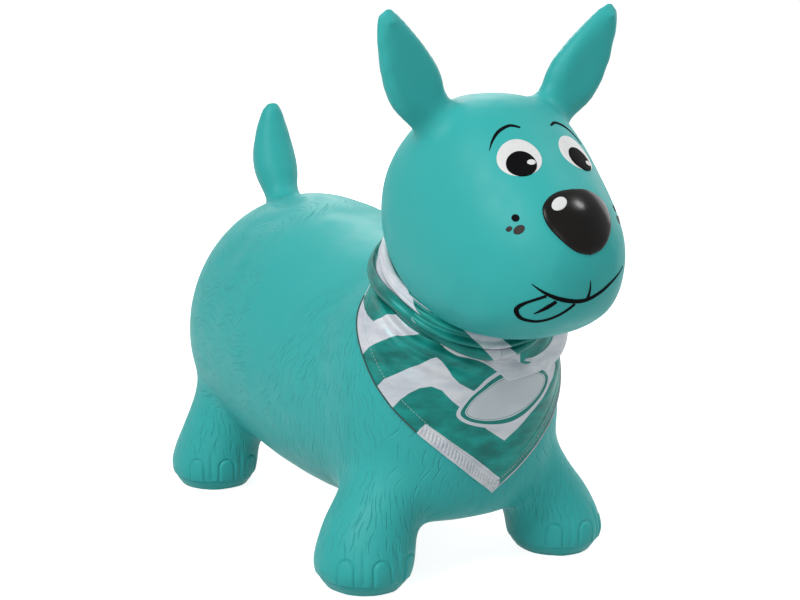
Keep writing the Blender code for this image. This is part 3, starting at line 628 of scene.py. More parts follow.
def set_flows(mesh):
    """Where the moulded strokes show, and which way they run, region by region."""
    points, normals = points_of(mesh), points_of(mesh, "normal")
    x, y, z = points.T
    y = y - SHIFT_Y
    front = step(-normals[:, 1], 0.45, 0.75)
    top = step(normals[:, 2], 0.55, 0.85) * step(z, 0.1, 0.16)
    under = 1 - step(z, 0.03, 0.06)
    head = step(z, 0.255, 0.285) * (1 - step(y, -0.085, -0.06))
    tail = step(y, 0.165, 0.185) * step(z, 0.272, 0.29)
    leg = (1 - step(z, 0.072, 0.098)) * bell(np.abs(y) - 0.15, 0.075, 4) * step(z, 0.026, 0.04)
    chin = step(z, 0.198, 0.214) * (1 - step(y, -0.175, -0.15))
    body = (1 - leg) * (1 - head) * (1 - tail) * (1 - under) * (1 - 0.85 * chin)
    off = y - on_line(z, SHOULDER_EDGE)
    shoulder = 1 - step(off, -0.014, 0.012)
    off = y - on_line(z, RUMP_EDGE)
    rump = step(off, -0.012, 0.016) * 0.75

    def flow(name, across, along, weight):
        set_layer(mesh, name, np.stack([across, along, weight], 1))

    turn = np.arctan2(z - HEAD_Z, y - HEAD_Y) * FLANK_RADIAN
    radius = np.hypot(y - HEAD_Y, z - HEAD_Z)
    flow("flank_flow", turn, radius, body * shoulder * (1 - front) * (1 - top) * 0.75)
    turn = np.arctan2(x, CHEST_TOP_Z - z) * CHEST_RADIAN
    flow("chest_flow", turn, z, body * front * (y < 0) * 0.72)
    flow("back_flow", x + 0.018 * np.sin(y * 60), y, body * top * np.maximum(rump, 0.6 * shoulder))
    turn = np.arctan2(x, y - RUMP_Y) * RUMP_RADIAN
    flow("rump_flow", z + 0.004 * np.sin(turn * 130), turn, body * rump * (1 - top))
    turn = np.arctan2(np.abs(x) - LEG_AXIS_X, LEG_Y * np.sign(y) - y) * LEG_RADIAN
    flow("leg_flow", turn, z, leg * 0.8)


# Face print, in degrees round a point in the head: to the animal's left, and up

FACE_CENTRE = Vector((0, -0.2 + SHIFT_Y, 0.31))
PRINT_LIFT = 0.00035
PRINT_STEP = 0.0003
PRINT_SINK = -0.0002
EYE = ((17.6, 36.2), 9.1)
PUPIL = ((17.2, 33.0), 6.1)
GLINT_SHIFTS = {"right": (4.8, 0.0), "left": (4.2, -2.6)}
GLINT_RADII = (1.75, 1.3)
BROW = ((32.6, 40.6), (30.8, 45.6), (26.6, 50.2), (19.0, 52.8), (12.2, 51.4))
MOUTH = (
    (-18.4, -10.7), (-14.2, -13.3), (-9.2, -15.3), (-3.0, -16.5), (1.2, -16.1), (5.5, -14.2), (10.2, -11.4),
    (17.0, -8.0),
)
NOTCH = ((0.5, -9.8), (0.9, -12.6), (0.8, -15.6))
TONGUE = (
    (-13.6, -14.3), (-18.4, -16.8), (-21.4, -19.2), (-22.3, -21.6), (-20.2, -24.4), (-15.2, -25.0),
    (-10.6, -23.3), (-6.4, -20.3), (-3.5, -17.4),
)
TONGUE_LINE = ((-16.4, -21.6), (-13.0, -18.7), (-10.2, -16.2))
CHEEK = (((22.7, 10.7), 1.35, 1.35), ((21.8, 6.6), 2.1, 1.35), ((25.1, 6.8), 1.2, 0.85))
NOSE_OUTLINE = ((0, 19.8), (6, 19.2), (10.6, 17.0), (13.4, 13.2), (12.8, 8.0), (9.4, 3.2), (4.8, -0.6), (0, -1.9))
NOSE_MIDDLE_UP = 10.5
NOSE_HEIGHT = 0.003
NOSE_GLINT = ((-7.6, 14.8), (3.1, 1.9), 34)
NOSE_GLINT_LIFT = 0.0004
CHEEK_TILT = 36
OVAL_RINGS = (1, 0.97, 0.8, 0.6, 0.4, 0.2)
OVAL_RIM = 0.6
NOSE_RINGS = (1, 0.985, 0.96, 0.92, 0.86, 0.78, 0.68, 0.56, 0.44, 0.32, 0.2, 0.1)
NOSE_RIM = 0.0005
BROW_WIDTHS = (0.2, 1.0, 1.5, 1.35, 0.9)
# Lines of the mouth: places, widths along them, and the node that each stands for
MOUTH_LINES = {
    "smile": (MOUTH, (0.2, 0.9, 1.45, 1.45, 1.35, 1.15, 0.9, 0.25), "mouth_line"),
    "smile_notch": (NOTCH, (0.15, 0.6, 1.1), "mouth_notch"),
    "tongue": (TONGUE, (0.95, 0.9, 1.3, 1.55, 1.4, 1.15, 1.05, 1.0, 1.0), "tongue_outline"),
    "tongue_crease": (TONGUE_LINE, (0.3, 1.35, 1.2), "tongue_line"),
}


def on_skin(tree, centre, direction, lift):
    place, normal, _, _ = tree.ray_cast(centre, direction)
    if normal.dot(direction) < 0:
        normal = -normal
    return place + normal * lift


def on_face(tree, spot, lift):
    """The place on the skin at these degrees across and up, lifted off it."""
    a, b = math.radians(spot[0]), math.radians(spot[1])
    way = Vector((math.sin(a) * math.cos(b), -math.cos(a) * math.cos(b), math.sin(b)))
    return on_skin(tree, FACE_CENTRE, way, lift)


def patch(name, tree, rings, loop, lifts, look, node=None):
    """A thin print on the skin from rows of face places: its top, and a rim that reaches the skin."""
    rows = [[on_face(tree, spot, lift) for spot in ring] for ring, lift in zip(rings, lifts)]
    if loop:
        rows.insert(0, [on_face(tree, spot, PRINT_SINK) for spot in rings[0]])
    else:
        for row, ring in zip(rows, rings):
            row.insert(0, on_face(tree, ring[0], PRINT_SINK))
            row.append(on_face(tree, ring[-1], PRINT_SINK))
    width = len(rows[0])
    points = [place for row in rows for place in row]
    faces = grid_faces(len(rows), width, ring=loop)
    if loop:
        last = len(points) - width
        faces += [(last + j, last + (j + 1) % width, len(points)) for j in range(width)]
        points.append(on_face(tree, np.mean(rings[-1], axis=0), lifts[-1]))
    piece = mesh_piece(name, points, faces, look)
    face_outward(piece)
    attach(piece, BODY)
    if node:
        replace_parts(piece, node)
    return piece


def face_outward(piece):
    """Flips an open patch whose faces look into the head."""
    mesh = piece.data
    middle = sum((p.center for p in mesh.polygons), Vector()) / len(mesh.polygons)
    normal = sum((p.normal * p.area for p in mesh.polygons), Vector())
    if normal.dot(middle - FACE_CENTRE) < 0:
        mesh.flip_normals()
        mesh.update()


def oval(name, tree, centre, radii, lift, look, node=None, tilt=0.0, points=72):
    """A tilted oval print, its radii in degrees."""
    squeeze = math.cos(math.radians(centre[1]))
    lean = math.radians(tilt)
    rings = []
    for share in OVAL_RINGS:
        ring = []
        for i in range(points):
            turn = TURN * i / points
            a, b = radii[0] * share * math.cos(turn), radii[1] * share * math.sin(turn)
            across = a * math.cos(lean) - b * math.sin(lean)
            up = a * math.sin(lean) + b * math.cos(lean)
            ring.append((centre[0] + across / squeeze, centre[1] + up))
        rings.append(ring)
    lifts = [lift * OVAL_RIM] + [lift] * (len(rings) - 1)
    return patch(name, tree, rings, True, lifts, look, node)


def stroke(name, tree, places, widths, node, look):
    """A brush line whose width follows the widths along it."""
    fine = smooth_rows(places)
    wide = smooth_rows([(width,) for width in widths])
    rows = []
    for i, (across, up) in enumerate(fine):
        before, after = fine[max(i - 1, 0)], fine[min(i + 1, len(fine) - 1)]
        squeeze = math.cos(math.radians(up))
        along = Vector(((after[0] - before[0]) * squeeze, after[1] - before[1])).normalized()
        half = wide[min(len(wide) - 1, round(i * (len(wide) - 1) / (len(fine) - 1)))][0] / 2
        side = Vector((-along.y / squeeze, along.x)) * half
        rows.append([(across + side.x * k, up + side.y * k) for k in (-1, -0.6, 0, 0.6, 1)])
    return patch(name, tree, rows, False, [PRINT_LIFT] * len(rows), look, node)


def nose_piece(tree, look):
    half = smooth_rows(NOSE_OUTLINE, 8)
    outline = half + [(-across, up) for across, up in reversed(half[1:-1])]
    middle = NOSE_MIDDLE_UP
    rings = [[(a * share, middle + (u - middle) * share) for a, u in outline] for share in NOSE_RINGS]
    lifts = [NOSE_RIM + NOSE_HEIGHT * math.sqrt(1 - share**2) for share in NOSE_RINGS]
    return patch("nose_pad", tree, rings, True, lifts, look, "nose")


def face(tree):
    black = print_ink("black_print", (0.006, 0.006, 0.007), 0.5, level=0.015)
    white = print_ink("white_print", (0.74, 0.75, 0.75), 0.34, 0.04)
    brown = print_ink("brown_print", (0.042, 0.034, 0.03), 0.42, 0.3, level=0.1)
    second, third = PRINT_LIFT + PRINT_STEP, PRINT_LIFT + PRINT_STEP * 2
    for side, sign in (("right", -1), ("left", 1)):
        (a, u), radius = EYE
        oval(f"eye_{side}", tree, (sign * a, u), (radius, radius), PRINT_LIFT, white, f"eye_white_{side}")
        (a, u), radius = PUPIL
        oval(f"eye_pupil_{side}", tree, (sign * a, u), (radius, radius), second, black, f"pupil_{side}")
        spot = (sign * a + GLINT_SHIFTS[side][0], u + GLINT_SHIFTS[side][1])
        oval(f"eye_glint_{side}", tree, spot, GLINT_RADII, third, white, f"glint_{side}")
        brow = [(sign * a, u) for a, u in BROW]
        stroke(f"eyebrow_{side}", tree, brow, BROW_WIDTHS, f"brow_{side}", black)
        for i, ((a, u), *radii) in enumerate(CHEEK):
            ends = f"{side}_{i + 1}"
            lean = {"tilt": -sign * CHEEK_TILT, "points": 40}
            look, node = brown if i else black, f"cheek_dot_{ends}"
            oval(f"cheek_spot_{ends}", tree, (sign * a, u), radii, PRINT_LIFT, look, node, **lean)
    for name, line in MOUTH_LINES.items():
        stroke(name, tree, *line, black)
    pad = tree_of(nose_piece(tree, nose_gloss()))
    centre, radii, tilt = NOSE_GLINT
    oval("nose_glint", pad, centre, radii, NOSE_GLINT_LIFT, white, tilt=tilt)


# Bandana, in degrees round an upright line in the chest

CHEST_Y = -0.11 + SHIFT_Y
CHEST_RADIUS = 0.108
CLOTH_DEGREE = 0.0018
CLOTH_LIFT = 0.001
CLOTH_THICKNESS = 0.0009
ROUTE_POINTS = 240
ROUTE_WINDOW = math.radians(5.5)
BIB_COLUMNS = 401
BIB_ROWS = 150
BIB_END = 80
BIB_FADE = 7
BIB_TUCK = 0.0035
BIB_LOOSE = 0.0022
BIB_TIGHT = 0.25
BIB_PASSES = 3
HEM_WIDTH = 0.0115
HEM_STEP = 0.0005
HEM_SLOPE = 0.0006
RUCHE_WIDTH = 0.0095
RUCHE_PITCH = 0.0036
RUCHE_HEIGHT = 0.0006
TAUT_REACH = (0.046, 0.026)

# Swags of the bib: how far below its top, share of the wander, half height, how far out
SWAGS = ((0.011, 1.0, 0.004, 0.0036), (0.026, 1.7, 0.0055, 0.0032), (0.046, 2.2, 0.008, 0.0022))

# Edges of the printed zigzag on the bib: each a line of degrees and heights, white below the
# first, teal below the second, and so on. The strip and the stripe are white too.
PRINT_EDGES = (
    (
        (-90, 0.27), (-79, 0.262), (-77.9, 0.2467), (-75.6, 0.2382), (-66.4, 0.23), (-59.3, 0.2258),
        (-54.7, 0.2298), (-44, 0.235), (-30, 0.243), (20, 0.243), (44, 0.237), (60, 0.229), (78, 0.245),
        (90, 0.262),
    ),
    (
        (-90, 0.16), (-66, 0.19), (-63, 0.2001), (-59.7, 0.2063), (-52.7, 0.2133), (-45.8, 0.2189),
        (-42.9, 0.2187), (-38.9, 0.2192), (-33, 0.223), (-20, 0.232), (0, 0.238), (30, 0.236), (44, 0.226),
        (52, 0.214), (66, 0.2), (90, 0.17),
    ),
    (
        (-90, 0.14), (-60, 0.166), (-54.6, 0.1755), (-51.2, 0.1825), (-40.1, 0.1936), (-29.1, 0.203),
        (-27.1, 0.199), (-22.6, 0.1866), (-19.3, 0.1802), (-13.3, 0.1731), (3, 0.15), (14, 0.163), (24, 0.18),
        (30, 0.19), (39, 0.206), (50, 0.2), (60, 0.186), (70, 0.172), (90, 0.15),
    ),
    (
        (-90, 0.12), (-52, 0.152), (-47.4, 0.1592), (-44, 0.1666), (-40.4, 0.1726), (-36.1, 0.1773),
        (-31.4, 0.1784), (-27.1, 0.1748), (-22.6, 0.1657), (-5.8, 0.1381), (3.6, 0.1258), (13.5, 0.1398),
        (24, 0.155), (33, 0.17), (37, 0.178), (39, 0.194), (46, 0.19), (56, 0.168), (66, 0.15), (90, 0.13),
    ),
)
STRIP_EDGE = (
    (-38.5, 0.13), (-37.2, 0.139), (-33.7, 0.1469), (-22.5, 0.1301), (-11, 0.1133), (2.7, 0.0926),
    (3.6, 0.07),
)
STRIPE = (-2, 12.5, 0.187)

# Spans of degrees in which the rolls are white behind, and edges of their prints in front:
# degrees, degrees per metre up, and the height of that place
WHITE_CORD = ((112, 140), (-141, -118))
WHITE_BAND = ((-112, -39), (128, 160))
FRONT_EDGES = ((-1.6, -533, 0.1938), (12.3, -473, 0.19), (12.9, 1100, 0.197))
FRONT_SPAN = (-30, 85)
WEDGE_END, WHITE_END = 41, 57


def outward(degrees):
    """The level way out of the chest at this angle."""
    turn = math.radians(degrees)
    return Vector((math.sin(turn), -math.cos(turn), 0))


def on_chest(tree, degrees, z, lift):
    return on_skin(tree, Vector((0, CHEST_Y, z)), outward(degrees), lift)


def degrees_at(points):
    return np.degrees(np.arctan2(points[..., 0], CHEST_Y - points[..., 1]))


def node_points(node):
    return np.array([v.co for v in frame["nodes"][node].data.vertices])


def route_of(node, count):
    """The middle line of a closed roll, from the angle-wise mean of its points, at equal steps."""
    points = node_points(node)
    low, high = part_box(node)
    middle = (low + high) / 2
    turns = np.arctan2(points[:, 0] - middle.x, middle.y - points[:, 1])
    line = []
    for i in range(count * 2):
        weight = bell(wrapped(turns - math.pi * i / count, TURN), ROUTE_WINDOW)
        line.append((points * weight[:, None]).sum(0) / weight.sum())
    closed = np.array(line + line[:1])
    passed = passed_along(closed)
    steps = np.linspace(0, passed[-1], count, endpoint=False)
    return np.stack([np.interp(steps, passed, closed[:, k]) for k in range(3)], 1), passed[-1]


def bib_reach():
    """Degrees, top and bottom of the bib's node, column by column."""
    points = node_points("bandana_bib")
    turns = degrees_at(points)
    columns = np.arange(-BIB_END, BIB_END + 1, 4.0)
    near = [points[np.abs(turns - at) < 1.2, 2] for at in columns]
    return columns, [z.max() for z in near], [z.min() for z in near]


def bib_print(degrees, z):
    """Over zero where the cloth is white: the distance to the nearest edge, with the side's sign."""
    levels = np.array([on_line(degrees, line) for line in PRINT_EDGES])
    near = np.abs(levels - z).min(axis=0)
    value = np.where((z < levels).sum(axis=0) % 2 == 1, near, -near)
    start, end, low = STRIPE
    stripe = np.minimum(np.minimum(degrees - start, end - degrees) * CLOTH_DEGREE, z - low)
    return np.maximum(np.maximum(value, strip_depth(degrees, z)), stripe)


def strip_depth(degrees, z):
    return on_line(degrees, STRIP_EDGE, left=0, right=0) - z


def fold_lift(degrees, below):
    """How far the cloth stands off the chest: swags under the roll that fade downwards."""
    wander = 0.0045 * np.sin(np.radians(degrees * 2.6 + 35)) + 0.0016 * np.sin(np.radians(degrees * 6.9))
    first, second, third = (bell(below - low - wander * share, half) * out for low, share, half, out in SWAGS)
    first *= 1 - 0.9 * bell(degrees - 18, 34, 4)
    middle = bell(degrees, 56, 4)
    ripple = 0.0007 * np.sin(np.radians(degrees * 7 + below * 1900)) * np.exp(-below / 0.06)
    broad = 0.0016 * np.sin(np.radians(degrees * 5.2 - 20)) * step(below, 0.02, 0.06)
    return first + (second + third) * middle + ripple + broad + 0.0016


def hem_field(s, z, hem):
    """Distance of each place from the hem, and how far along the hem that is."""
    away, along = np.full(s.shape, np.inf), np.zeros(s.shape)
    for (hem_s, hem_z), passed in zip(hem, passed_along(hem)):
        far = np.hypot(s - hem_s, z - hem_z)
        closer = far < away
        away[closer], along[closer] = far[closer], passed
    return away, along


def bib(tree, look):
    """The cloth on the chest, and its lower edge as degrees and heights."""
    columns, tops, bottoms = bib_reach()
    degrees = np.linspace(-BIB_END, BIB_END, BIB_COLUMNS)
    top = np.interp(degrees, columns, tops) + BIB_TUCK
    low = np.interp(degrees, columns, bottoms)
    z = top[:, None] + (low - top)[:, None] * np.linspace(0, 1, BIB_ROWS)
    at = np.repeat(degrees[:, None], BIB_ROWS, 1)
    s = np.radians(at) * CHEST_RADIUS
    away, along = hem_field(s, z, np.stack([np.radians(degrees) * CHEST_RADIUS, low], 1))

    # the folds flatten towards the hem, at the sides and under the badge
    fade = np.clip((BIB_END - np.abs(at)) / BIB_FADE, 0, 1)
    taut = np.hypot((s - BADGE_PLACE[0]) / TAUT_REACH[0], (z - BADGE_PLACE[1]) / TAUT_REACH[1])
    relief = fold_lift(at, top[:, None] - z) * eased(step(away, 0.002, 0.02))
    lift = CLOTH_LIFT + fade * (BIB_LOOSE + (relief - BIB_LOOSE) * eased(step(taut, 0.7, 1.3)))
    lift += HEM_STEP * (1 - step(away, HEM_WIDTH - HEM_SLOPE, HEM_WIDTH + HEM_SLOPE))
    ruche = step(strip_depth(at, z), -0.0002, 0.0004) * step(away, 0.0012, 0.0026)
    ruche *= 1 - step(away, RUCHE_WIDTH - 0.001, RUCHE_WIDTH)
    lift += ruche * RUCHE_HEIGHT * (1 + np.sin(TURN * along / RUCHE_PITCH + 900 * away))

    points = [on_chest(tree, *spot) for spot in zip(at.ravel(), z.ravel(), lift.ravel())]
    piece = mesh_piece("bandana_cloth", points, grid_faces(BIB_COLUMNS, BIB_ROWS, ring=False), look)
    relax(piece.data, BIB_PASSES, (1 - ruche).ravel())
    painted(piece, np.stack([s, z, 0 * z], 2), bib_print(at, z).ravel())
    thick = piece.modifiers.new("thickness", "SOLIDIFY")
    thick.thickness, thick.offset = CLOTH_THICKNESS, 1
    settle(piece)
    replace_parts(piece, "bandana_bib")
    return piece, np.stack([degrees, low], 1)


def eased(share):
    return BIB_TIGHT + (1 - BIB_TIGHT) * share


def painted(piece, places, prints):
    """Gives cloth its own coordinates and its print, and lets it ride."""
    set_layer(piece.data, "cloth_place", places)
    set_layer(piece.data, "print_value", prints)
    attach(piece, BODY)
    return piece


def roll_print(degrees, z, spans, slant):
    """Over zero where a roll is white. In front that is a slanting stripe and, past a teal wedge,
    the rest up to the white's end; elsewhere it is inside the spans, which slant."""
    if FRONT_SPAN[0] < degrees < FRONT_SPAN[1]:
        left, right, wedge = (at + slope * (z - height) for at, slope, height in FRONT_EDGES)
        wedge = max(min(wedge, WEDGE_END), left)
        inside = [min(degrees - left, right - degrees), min(degrees - wedge, WHITE_END - degrees)]
    else:
        at = degrees + slant
        inside = [min(wrapped(at - a, 360), wrapped(b - at, 360)) for a, b in spans]
    return max(inside) * CLOTH_DEGREE


def swept(name, route, profile_at, look, length):
    """A closed loop of cloth: profile_at gives, at each share of the way round, its outline in
    steps outwards and upwards, with the print value of each point."""
    points, places, prints = [], [], []
    count = len(route)
    around = degrees_at(route)
    for i in range(count):
        along = Vector(route[(i + 1) % count] - route[i - 1]).normalized()
        side = along.cross(Z).normalized()
        up = side.cross(along)
        for out, rise, printed, t in profile_at(i / count, around[i], route[i][2]):
            points.append(Vector(route[i]) + side * out + up * rise)
            places.append((i / count * length, t, 0))
            prints.append(printed)
    piece = mesh_piece(name, points, grid_faces(count, len(points) // count, loop=True), look)
    return painted(turned_out(piece), places, prints)


CORD_RADII = (0.006, 0.0047)
CORD_FRONT = 48
CORD_POINTS = 48
CORD_OVAL = 1.08
CORD_SLANT = 7.5
# Lip and creases of the cord: turn past the lip, share of the radius, width as a share of a turn
CORD_RELIEF = ((0, 0.12, 0.035), (0.55, -0.22, 0.028), (2.6, -0.12, 0.035))


def cord_profile(share, degrees, height):
    """The rolled edge: a fat roll at the sides, slimmer in front, with one turned-in lip."""
    radius = CORD_RADII[0] + (CORD_RADII[1] - CORD_RADII[0]) * bell(degrees, CORD_FRONT)
    spin = 2.3 + 1.1 * math.sin(TURN * share) + 0.5 * math.sin(TURN * 3 * share)
    outline = []
    for j in range(CORD_POINTS):
        turn = TURN * j / CORD_POINTS
        wave = 0.035 * math.cos(3 * turn + 16 * share) + 0.02 * math.sin(31 * share + 2 * turn)
        for past, out, wide in CORD_RELIEF:
            wave += out * bell(wrapped((turn - spin - past) / TURN, 1), wide)
        reach = radius * (0.95 + wave)
        rise = reach * CORD_OVAL * math.sin(turn)
        value = roll_print(degrees, height + rise, WHITE_CORD, CORD_SLANT * math.sin(turn))
        outline.append((reach * math.cos(turn), rise, value, turn * radius))
    return outline


# The two bands: bottom, height and how far out. Then how the back closes them at the neck.
BANDS = ((-0.0066, 0.0088, 0.0062), (0.0014, 0.0086, 0.0046))
BAND_STEPS = 14
BAND_DEPTH = 0.008
BAND_SLANT = 9
BAND_BACK = (-0.0046, 0.0098, -0.0164, 8)
HAIRLINE = (0.8, 0.05, 70)


def band_profile(share, degrees, height):
    """Two folded bands above the roll, the upper one tucked behind the lower, closed at the neck."""
    outline = []
    sway = 0.0007 * math.sin(TURN * 4 * share) + 0.0005 * math.sin(TURN * 9 * share + 1)
    for k, (bottom, tall, out) in enumerate(BANDS):
        for j in range(BAND_STEPS):
            t = j / (BAND_STEPS - 1)
            bulge = math.sin(math.pi * min(1, t * 1.5 + 0.12)) ** 0.7
            off = out + (0.002 + sway) * (bulge - 0.7) + 0.0007 * bell(t - 0.9, 0.06) - 0.0022 * t
            rise = bottom + tall * t
            value = roll_print(degrees, height + rise, WHITE_BAND, BAND_SLANT * (t - 0.5))
            if k == 1 and abs(t - HAIRLINE[0]) < HAIRLINE[1] and abs(degrees) < HAIRLINE[2]:
                value = 0.001
            outline.append((off, rise, value, (k + t) * BAND_DEPTH))
    off, top, drop, count = BAND_BACK
    outline += [(off, top + drop * (j / (count - 1)), -0.01, 0.03) for j in range(count)]
    return outline


# The loose fold that hangs from the roll in front: degrees, lower edge, upper edge, how far it stands off
FOLD_ROWS = (
    (-31, 0.213, 0.216, 0.001), (-26, 0.2075, 0.214, 0.0022), (-20, 0.2025, 0.209, 0.003),
    (-10.7, 0.1975, 0.203, 0.0034), (-4, 0.1905, 0.199, 0.0036), (1, 0.1835, 0.199, 0.004),
    (5.5, 0.1768, 0.199, 0.0038), (12, 0.1772, 0.197, 0.0038), (17, 0.178, 0.1935, 0.0038),
    (22, 0.179, 0.193, 0.004), (30, 0.1805, 0.1965, 0.0044), (37, 0.1835, 0.2025, 0.0064),
    (44, 0.1905, 0.214, 0.0098), (52, 0.202, 0.228, 0.0128), (60, 0.215, 0.238, 0.0116),
    (68, 0.228, 0.246, 0.0076), (76, 0.24, 0.253, 0.004), (82, 0.25, 0.258, 0.002),
)
FOLD_POINTS = 40
FOLD_LIFT = 0.0026


def loose_fold(tree, look):
    """A doubled fold of white cloth below the roll, with its rounded lower edge and one soft crease."""
    rows = smooth_rows(FOLD_ROWS)
    points, places, prints = [], [], []
    for i, (degree, low, high, off) in enumerate(rows):
        turn = math.radians(degree)
        middle, half = (low + high) / 2, (high - low) / 2
        ends = math.sqrt(max(0.02, 1 - abs(2 * i / (len(rows) - 1) - 1) ** 10))
        for j in range(FOLD_POINTS):
            around = TURN * j / FOLD_POINTS
            rise = math.sin(around)
            z = middle + half * rise
            front = 0.5 + 0.5 * math.cos(around)
            swell = off * (0.72 - 0.28 * rise)
            crease = 0.0007 * bell(rise - 0.25 - 0.2 * math.sin(turn * 3), 0.12)
            ripple = 0.0005 * math.sin(13 * turn + 3 * rise)
            points.append(on_chest(tree, degree, z, FOLD_LIFT + ends * front * (swell - crease + ripple)))
            places.append((turn * CHEST_RADIUS, z + 1, 0))
            start, end = degree - FOLD_ROWS[0][0] + 8 * rise, WHITE_END - degree + 5 * rise
            prints.append(min(0.001, start * 0.001, end * CLOTH_DEGREE))
    piece = mesh_piece("bandana_fold", points, closed_tube(len(rows), FOLD_POINTS), look)
    return painted(turned_out(piece), places, prints)


PIPING_RADIUS = 0.0008
PIPING_SLIM = 0.8
THREAD_END = 0.55
STITCH_LENGTH = 0.0021
STITCH_PITCH = 0.0031
STITCH_RADIUS = 0.00024
STITCH_MARGIN = 0.004
STITCH_INSET = 0.0055
# Spans of degrees: the hem's edge on the right, on the left, and the right edge's stitches
RIGHT_EDGE, LEFT_EDGE, RIGHT_STITCHES = (-78, -37.5), (2.5, 78), (-72, 3)


def tube(name, lines, radius, look, sides=8):
    """Round threads along lines of points, each closed at both ends."""
    points, faces = [], []
    for line in lines:
        faces += closed_tube(len(line), sides, len(points))
        for i, place in enumerate(line):
            along = (line[min(i + 1, len(line) - 1)] - line[max(i - 1, 0)]).normalized()
            side = along.cross(Z if abs(along.z) < 0.9 else X).normalized()
            up = side.cross(along)
            thin = THREAD_END if i in (0, len(line) - 1) else 1
            for j in range(sides):
                turn = TURN * j / sides
                points.append(place + (side * math.cos(turn) + up * math.sin(turn)) * radius * thin)
    piece = turned_out(mesh_piece(name, points, faces, look))
    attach(piece, BODY)
    return piece


def on_cloth(tree, degrees, height, lift):
    """The place on the cloth at this angle and height, or None beside it."""
    way = outward(degrees)
    place, _, _, _ = tree.ray_cast(Vector((0, CHEST_Y, height)) + way * 0.2, -way)
    return None if place is None else place + way * lift


def trims(tree, hem):
    """Piping along the two long edges of the bib, and the running stitches inside them."""

    def part(low, high):
        return hem[(hem[:, 0] > low) & (hem[:, 0] < high)]

    edges = []
    for span in (RIGHT_EDGE, LEFT_EDGE):
        line = [on_cloth(tree, degree, low + 0.0006, 0.0002) for degree, low in part(*span)]
        edges.append([place for place in line if place])
    look = thread("piping_teal", (0.006, 0.09, 0.082))
    teal = tube("bandana_piping_teal", edges[:1], PIPING_RADIUS, look)
    look = thread("piping_white", (0.55, 0.55, 0.6))
    white = tube("bandana_piping_white", edges[1:], PIPING_RADIUS * PIPING_SLIM, look)
    threads = []
    for span, inset in ((RIGHT_STITCHES, HEM_WIDTH), (LEFT_EDGE, STITCH_INSET)):
        flat = part(*span) * (math.radians(1) * CHEST_RADIUS, 1)
        along = np.gradient(flat, axis=0)
        along /= np.linalg.norm(along, axis=1)[:, None]
        inner = flat + np.stack([-along[:, 1], along[:, 0]], 1) * inset
        passed = passed_along(inner)
        for first in np.arange(STITCH_MARGIN, passed[-1] - STITCH_MARGIN, STITCH_PITCH):
            line = []
            for part_way in (0, 0.3, 0.7, 1):
                at = first + STITCH_LENGTH * part_way
                s, z = (np.interp(at, passed, inner[:, k]) for k in (0, 1))
                lift = 0.00005 + 0.0002 * math.sin(math.pi * part_way)
                line.append(on_cloth(tree, math.degrees(s / CHEST_RADIUS), z, lift))
            if all(line):
                threads.append(line)
    look = thread("stitch_thread", (0.5, 0.6, 0.58))
    return [teal, white, tube("bandana_stitches", threads, STITCH_RADIUS, look, 6)]


# Pieces of the knot: size of a voxel, and how high their creases stand
KNOT = {
    "bandana_knot": (0.0011, 0.0012),
    "bandana_end_right": (0.0006, 0.0003),
    "bandana_end_left": (0.0006, 0.0003),
}
KNOT_PASSES = 6


def tied(node, look):
    """A finer copy of a piece of the knot, with the cloth's small creases."""
    voxel, ridge = KNOT[node]
    source = frame["nodes"][node]
    piece = remeshed(linked(node.replace("bandana_", "bandana_tied_"), source.data.copy()), voxel)
    points = relax(piece.data, KNOT_PASSES)
    near = points - points.mean(0)
    turn = np.arctan2(near[:, 2], near[:, 1])
    crease = np.sqrt(np.abs(np.sin(3.5 * turn + 160 * near[:, 0]))) - 0.8
    put_points(piece.data, points + points_of(piece.data, "normal") * (ridge * crease)[:, None])
    dress(piece, look)
    prints = 0.004 * np.sin(260 * near[:, 0] + 120 * near[:, 2] + 0.6) - 0.0012
    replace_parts(painted(piece, near, prints), node)
    return piece


def raised(route):
    """The cord's route: higher on both shoulders and at the nape than its node's middle, and further
    out at the sides."""
    around = degrees_at(route)
    shoulder, side, nape = (bell(np.abs(around) - at, width) for at, width in ((46, 17), (118, 30), (152, 26)))
    rise = shoulder * np.where(around < 0, 0.0075, 0.002) + 0.0035 * nape
    out = 0.0058 * side
    turn = np.radians(around)
    return route + np.stack([out * np.sin(turn), -out * np.cos(turn), rise], 1)


def bandana(tree):
    look = satin()
    cloth, hem = bib(tree, look)
    upper, around = route_of("bandana_roll_upper", ROUTE_POINTS)
    lower, _ = route_of("bandana_roll_lower", ROUTE_POINTS)
    cord = swept("bandana_cord", raised(lower), cord_profile, look, around)
    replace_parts(cord, "bandana_roll_lower")
    bands = swept("bandana_bands", upper, band_profile, look, around)
    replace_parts(bands, "bandana_roll_upper")
    fold = loose_fold(tree, look)
    knot = [tied(node, look) for node in KNOT]
    pieces = [cord, bands, fold] + trims(tree_of(cloth), hem) + knot


# Lights, floor and camera

CAMERA_PLACE = (-0.7467, -1.3812 + SHIFT_Y, 0.5453)
CAMERA_WAY = (0.4782, 0.8525, -0.2112)
CAMERA_LENS = 77.3
LIGHT_TARGET = Vector((0, 0, 0.2))
# Disk lamps: place, width and power in watts
LIGHTS = {
    "key": ((-2.1, -0.7, 2.2), 1.2, 50),
    "top": ((1.3, -0.9, 2.3), 0.45, 17),
    "front": ((-1.6, -2.2, 0.8), 1.2, 11),
    "back": ((0.9, 2.4, 1.6), 1.6, 22),
    "side": ((2.6, 0.7, 1.2), 1.6, 12),
}
WORLD_DIFFUSE, WORLD_SEEN = 0.24, 1.0
FLOOR_SHADES = ((0.0, (0.52, 0.52, 0.52)), (1.0, (0.54, 0.54, 0.54)))
FLOOR_GLOW = 0.88
FLOOR_HALF = 12


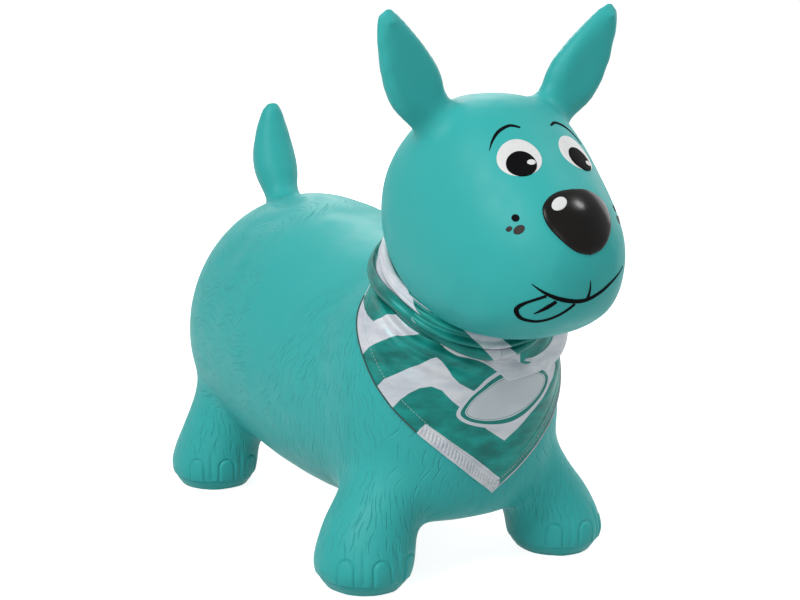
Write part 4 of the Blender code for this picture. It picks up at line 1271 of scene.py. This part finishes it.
def lamps():
    for name, (place, size, power) in LIGHTS.items():
        data = bpy.data.lights.new(name, "AREA")
        data.shape, data.size, data.energy = "DISK", size, power
        lamp = linked(name, data)
        lamp.location = place
        lamp.rotation_euler = (LIGHT_TARGET - Vector(place)).to_track_quat("-Z", "Y").to_euler()


def world():
    """Bright where it is seen, dimmer as a light."""
    bpy.context.scene.world = bpy.data.worlds.new("studio")
    shader = Shader(bpy.context.scene.world, "Background")
    level = {"Value": seen_rays(shader), "To Min": WORLD_DIFFUSE, "To Max": WORLD_SEEN}
    shader.set(Color=(1, 1, 1), Strength=shader.add("ShaderNodeMapRange", level).outputs[0])


def seen_rays(shader):
    """1 for what the camera sees straight, mirrored or through clear material."""
    path = shader.add("ShaderNodeLightPath").outputs
    value = shader.math("MAXIMUM", path["Is Camera Ray"], path["Is Glossy Ray"])
    return shader.math("MAXIMUM", value, path["Is Transmission Ray"])


def floor():
    shader = Shader("floor_white")
    shader.set(Base_Color=shader.ramp(shader.noise(shader.place(), 40.0), FLOOR_SHADES))
    shader.set(Roughness=0.9, Specular_IOR_Level=0.1)
    strength = shader.math("MULTIPLY", seen_rays(shader), FLOOR_GLOW)
    glow = shader.add("ShaderNodeEmission", {"Color": (1, 1, 1), "Strength": strength}).outputs[0]
    both = shader.add("ShaderNodeAddShader", {0: shader.surface.outputs[0], 1: glow})
    shader.put(shader.nodes["Material Output"].inputs["Surface"], both.outputs[0])
    corners = [(x * FLOOR_HALF, y * FLOOR_HALF, 0) for x, y in ((-1, -1), (1, -1), (1, 1), (-1, 1))]
    mesh_piece("floor", corners, [(0, 1, 2, 3)], shader.owner)


def camera():
    data = bpy.data.cameras.new("camera")
    data.lens, data.sensor_width = CAMERA_LENS, 36
    seen = linked("camera", data)
    seen.location = CAMERA_PLACE
    seen.rotation_euler = Vector(CAMERA_WAY).to_track_quat("-Z", "Y").to_euler()
    bpy.context.scene.camera = seen
    bpy.context.scene.view_settings.view_transform = "Standard"


def repaint(node, look):
    slots = frame["nodes"][node].data.materials
    slots.clear()
    slots.append(look)


camera()
lamps()
world()
floor()
skin = fine_skin(vinyl())
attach(skin, BODY)
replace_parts(skin, "inflatable_skin")
skin_tree = tree_of(skin)
face(skin_tree)
bandana(skin_tree)
repaint("valve_seat", plastic("valve_vinyl", (0.07, 0.4, 0.39), 0.4))
repaint("valve_plug", plastic("plug_white", (0.75, 0.76, 0.76), 0.35))
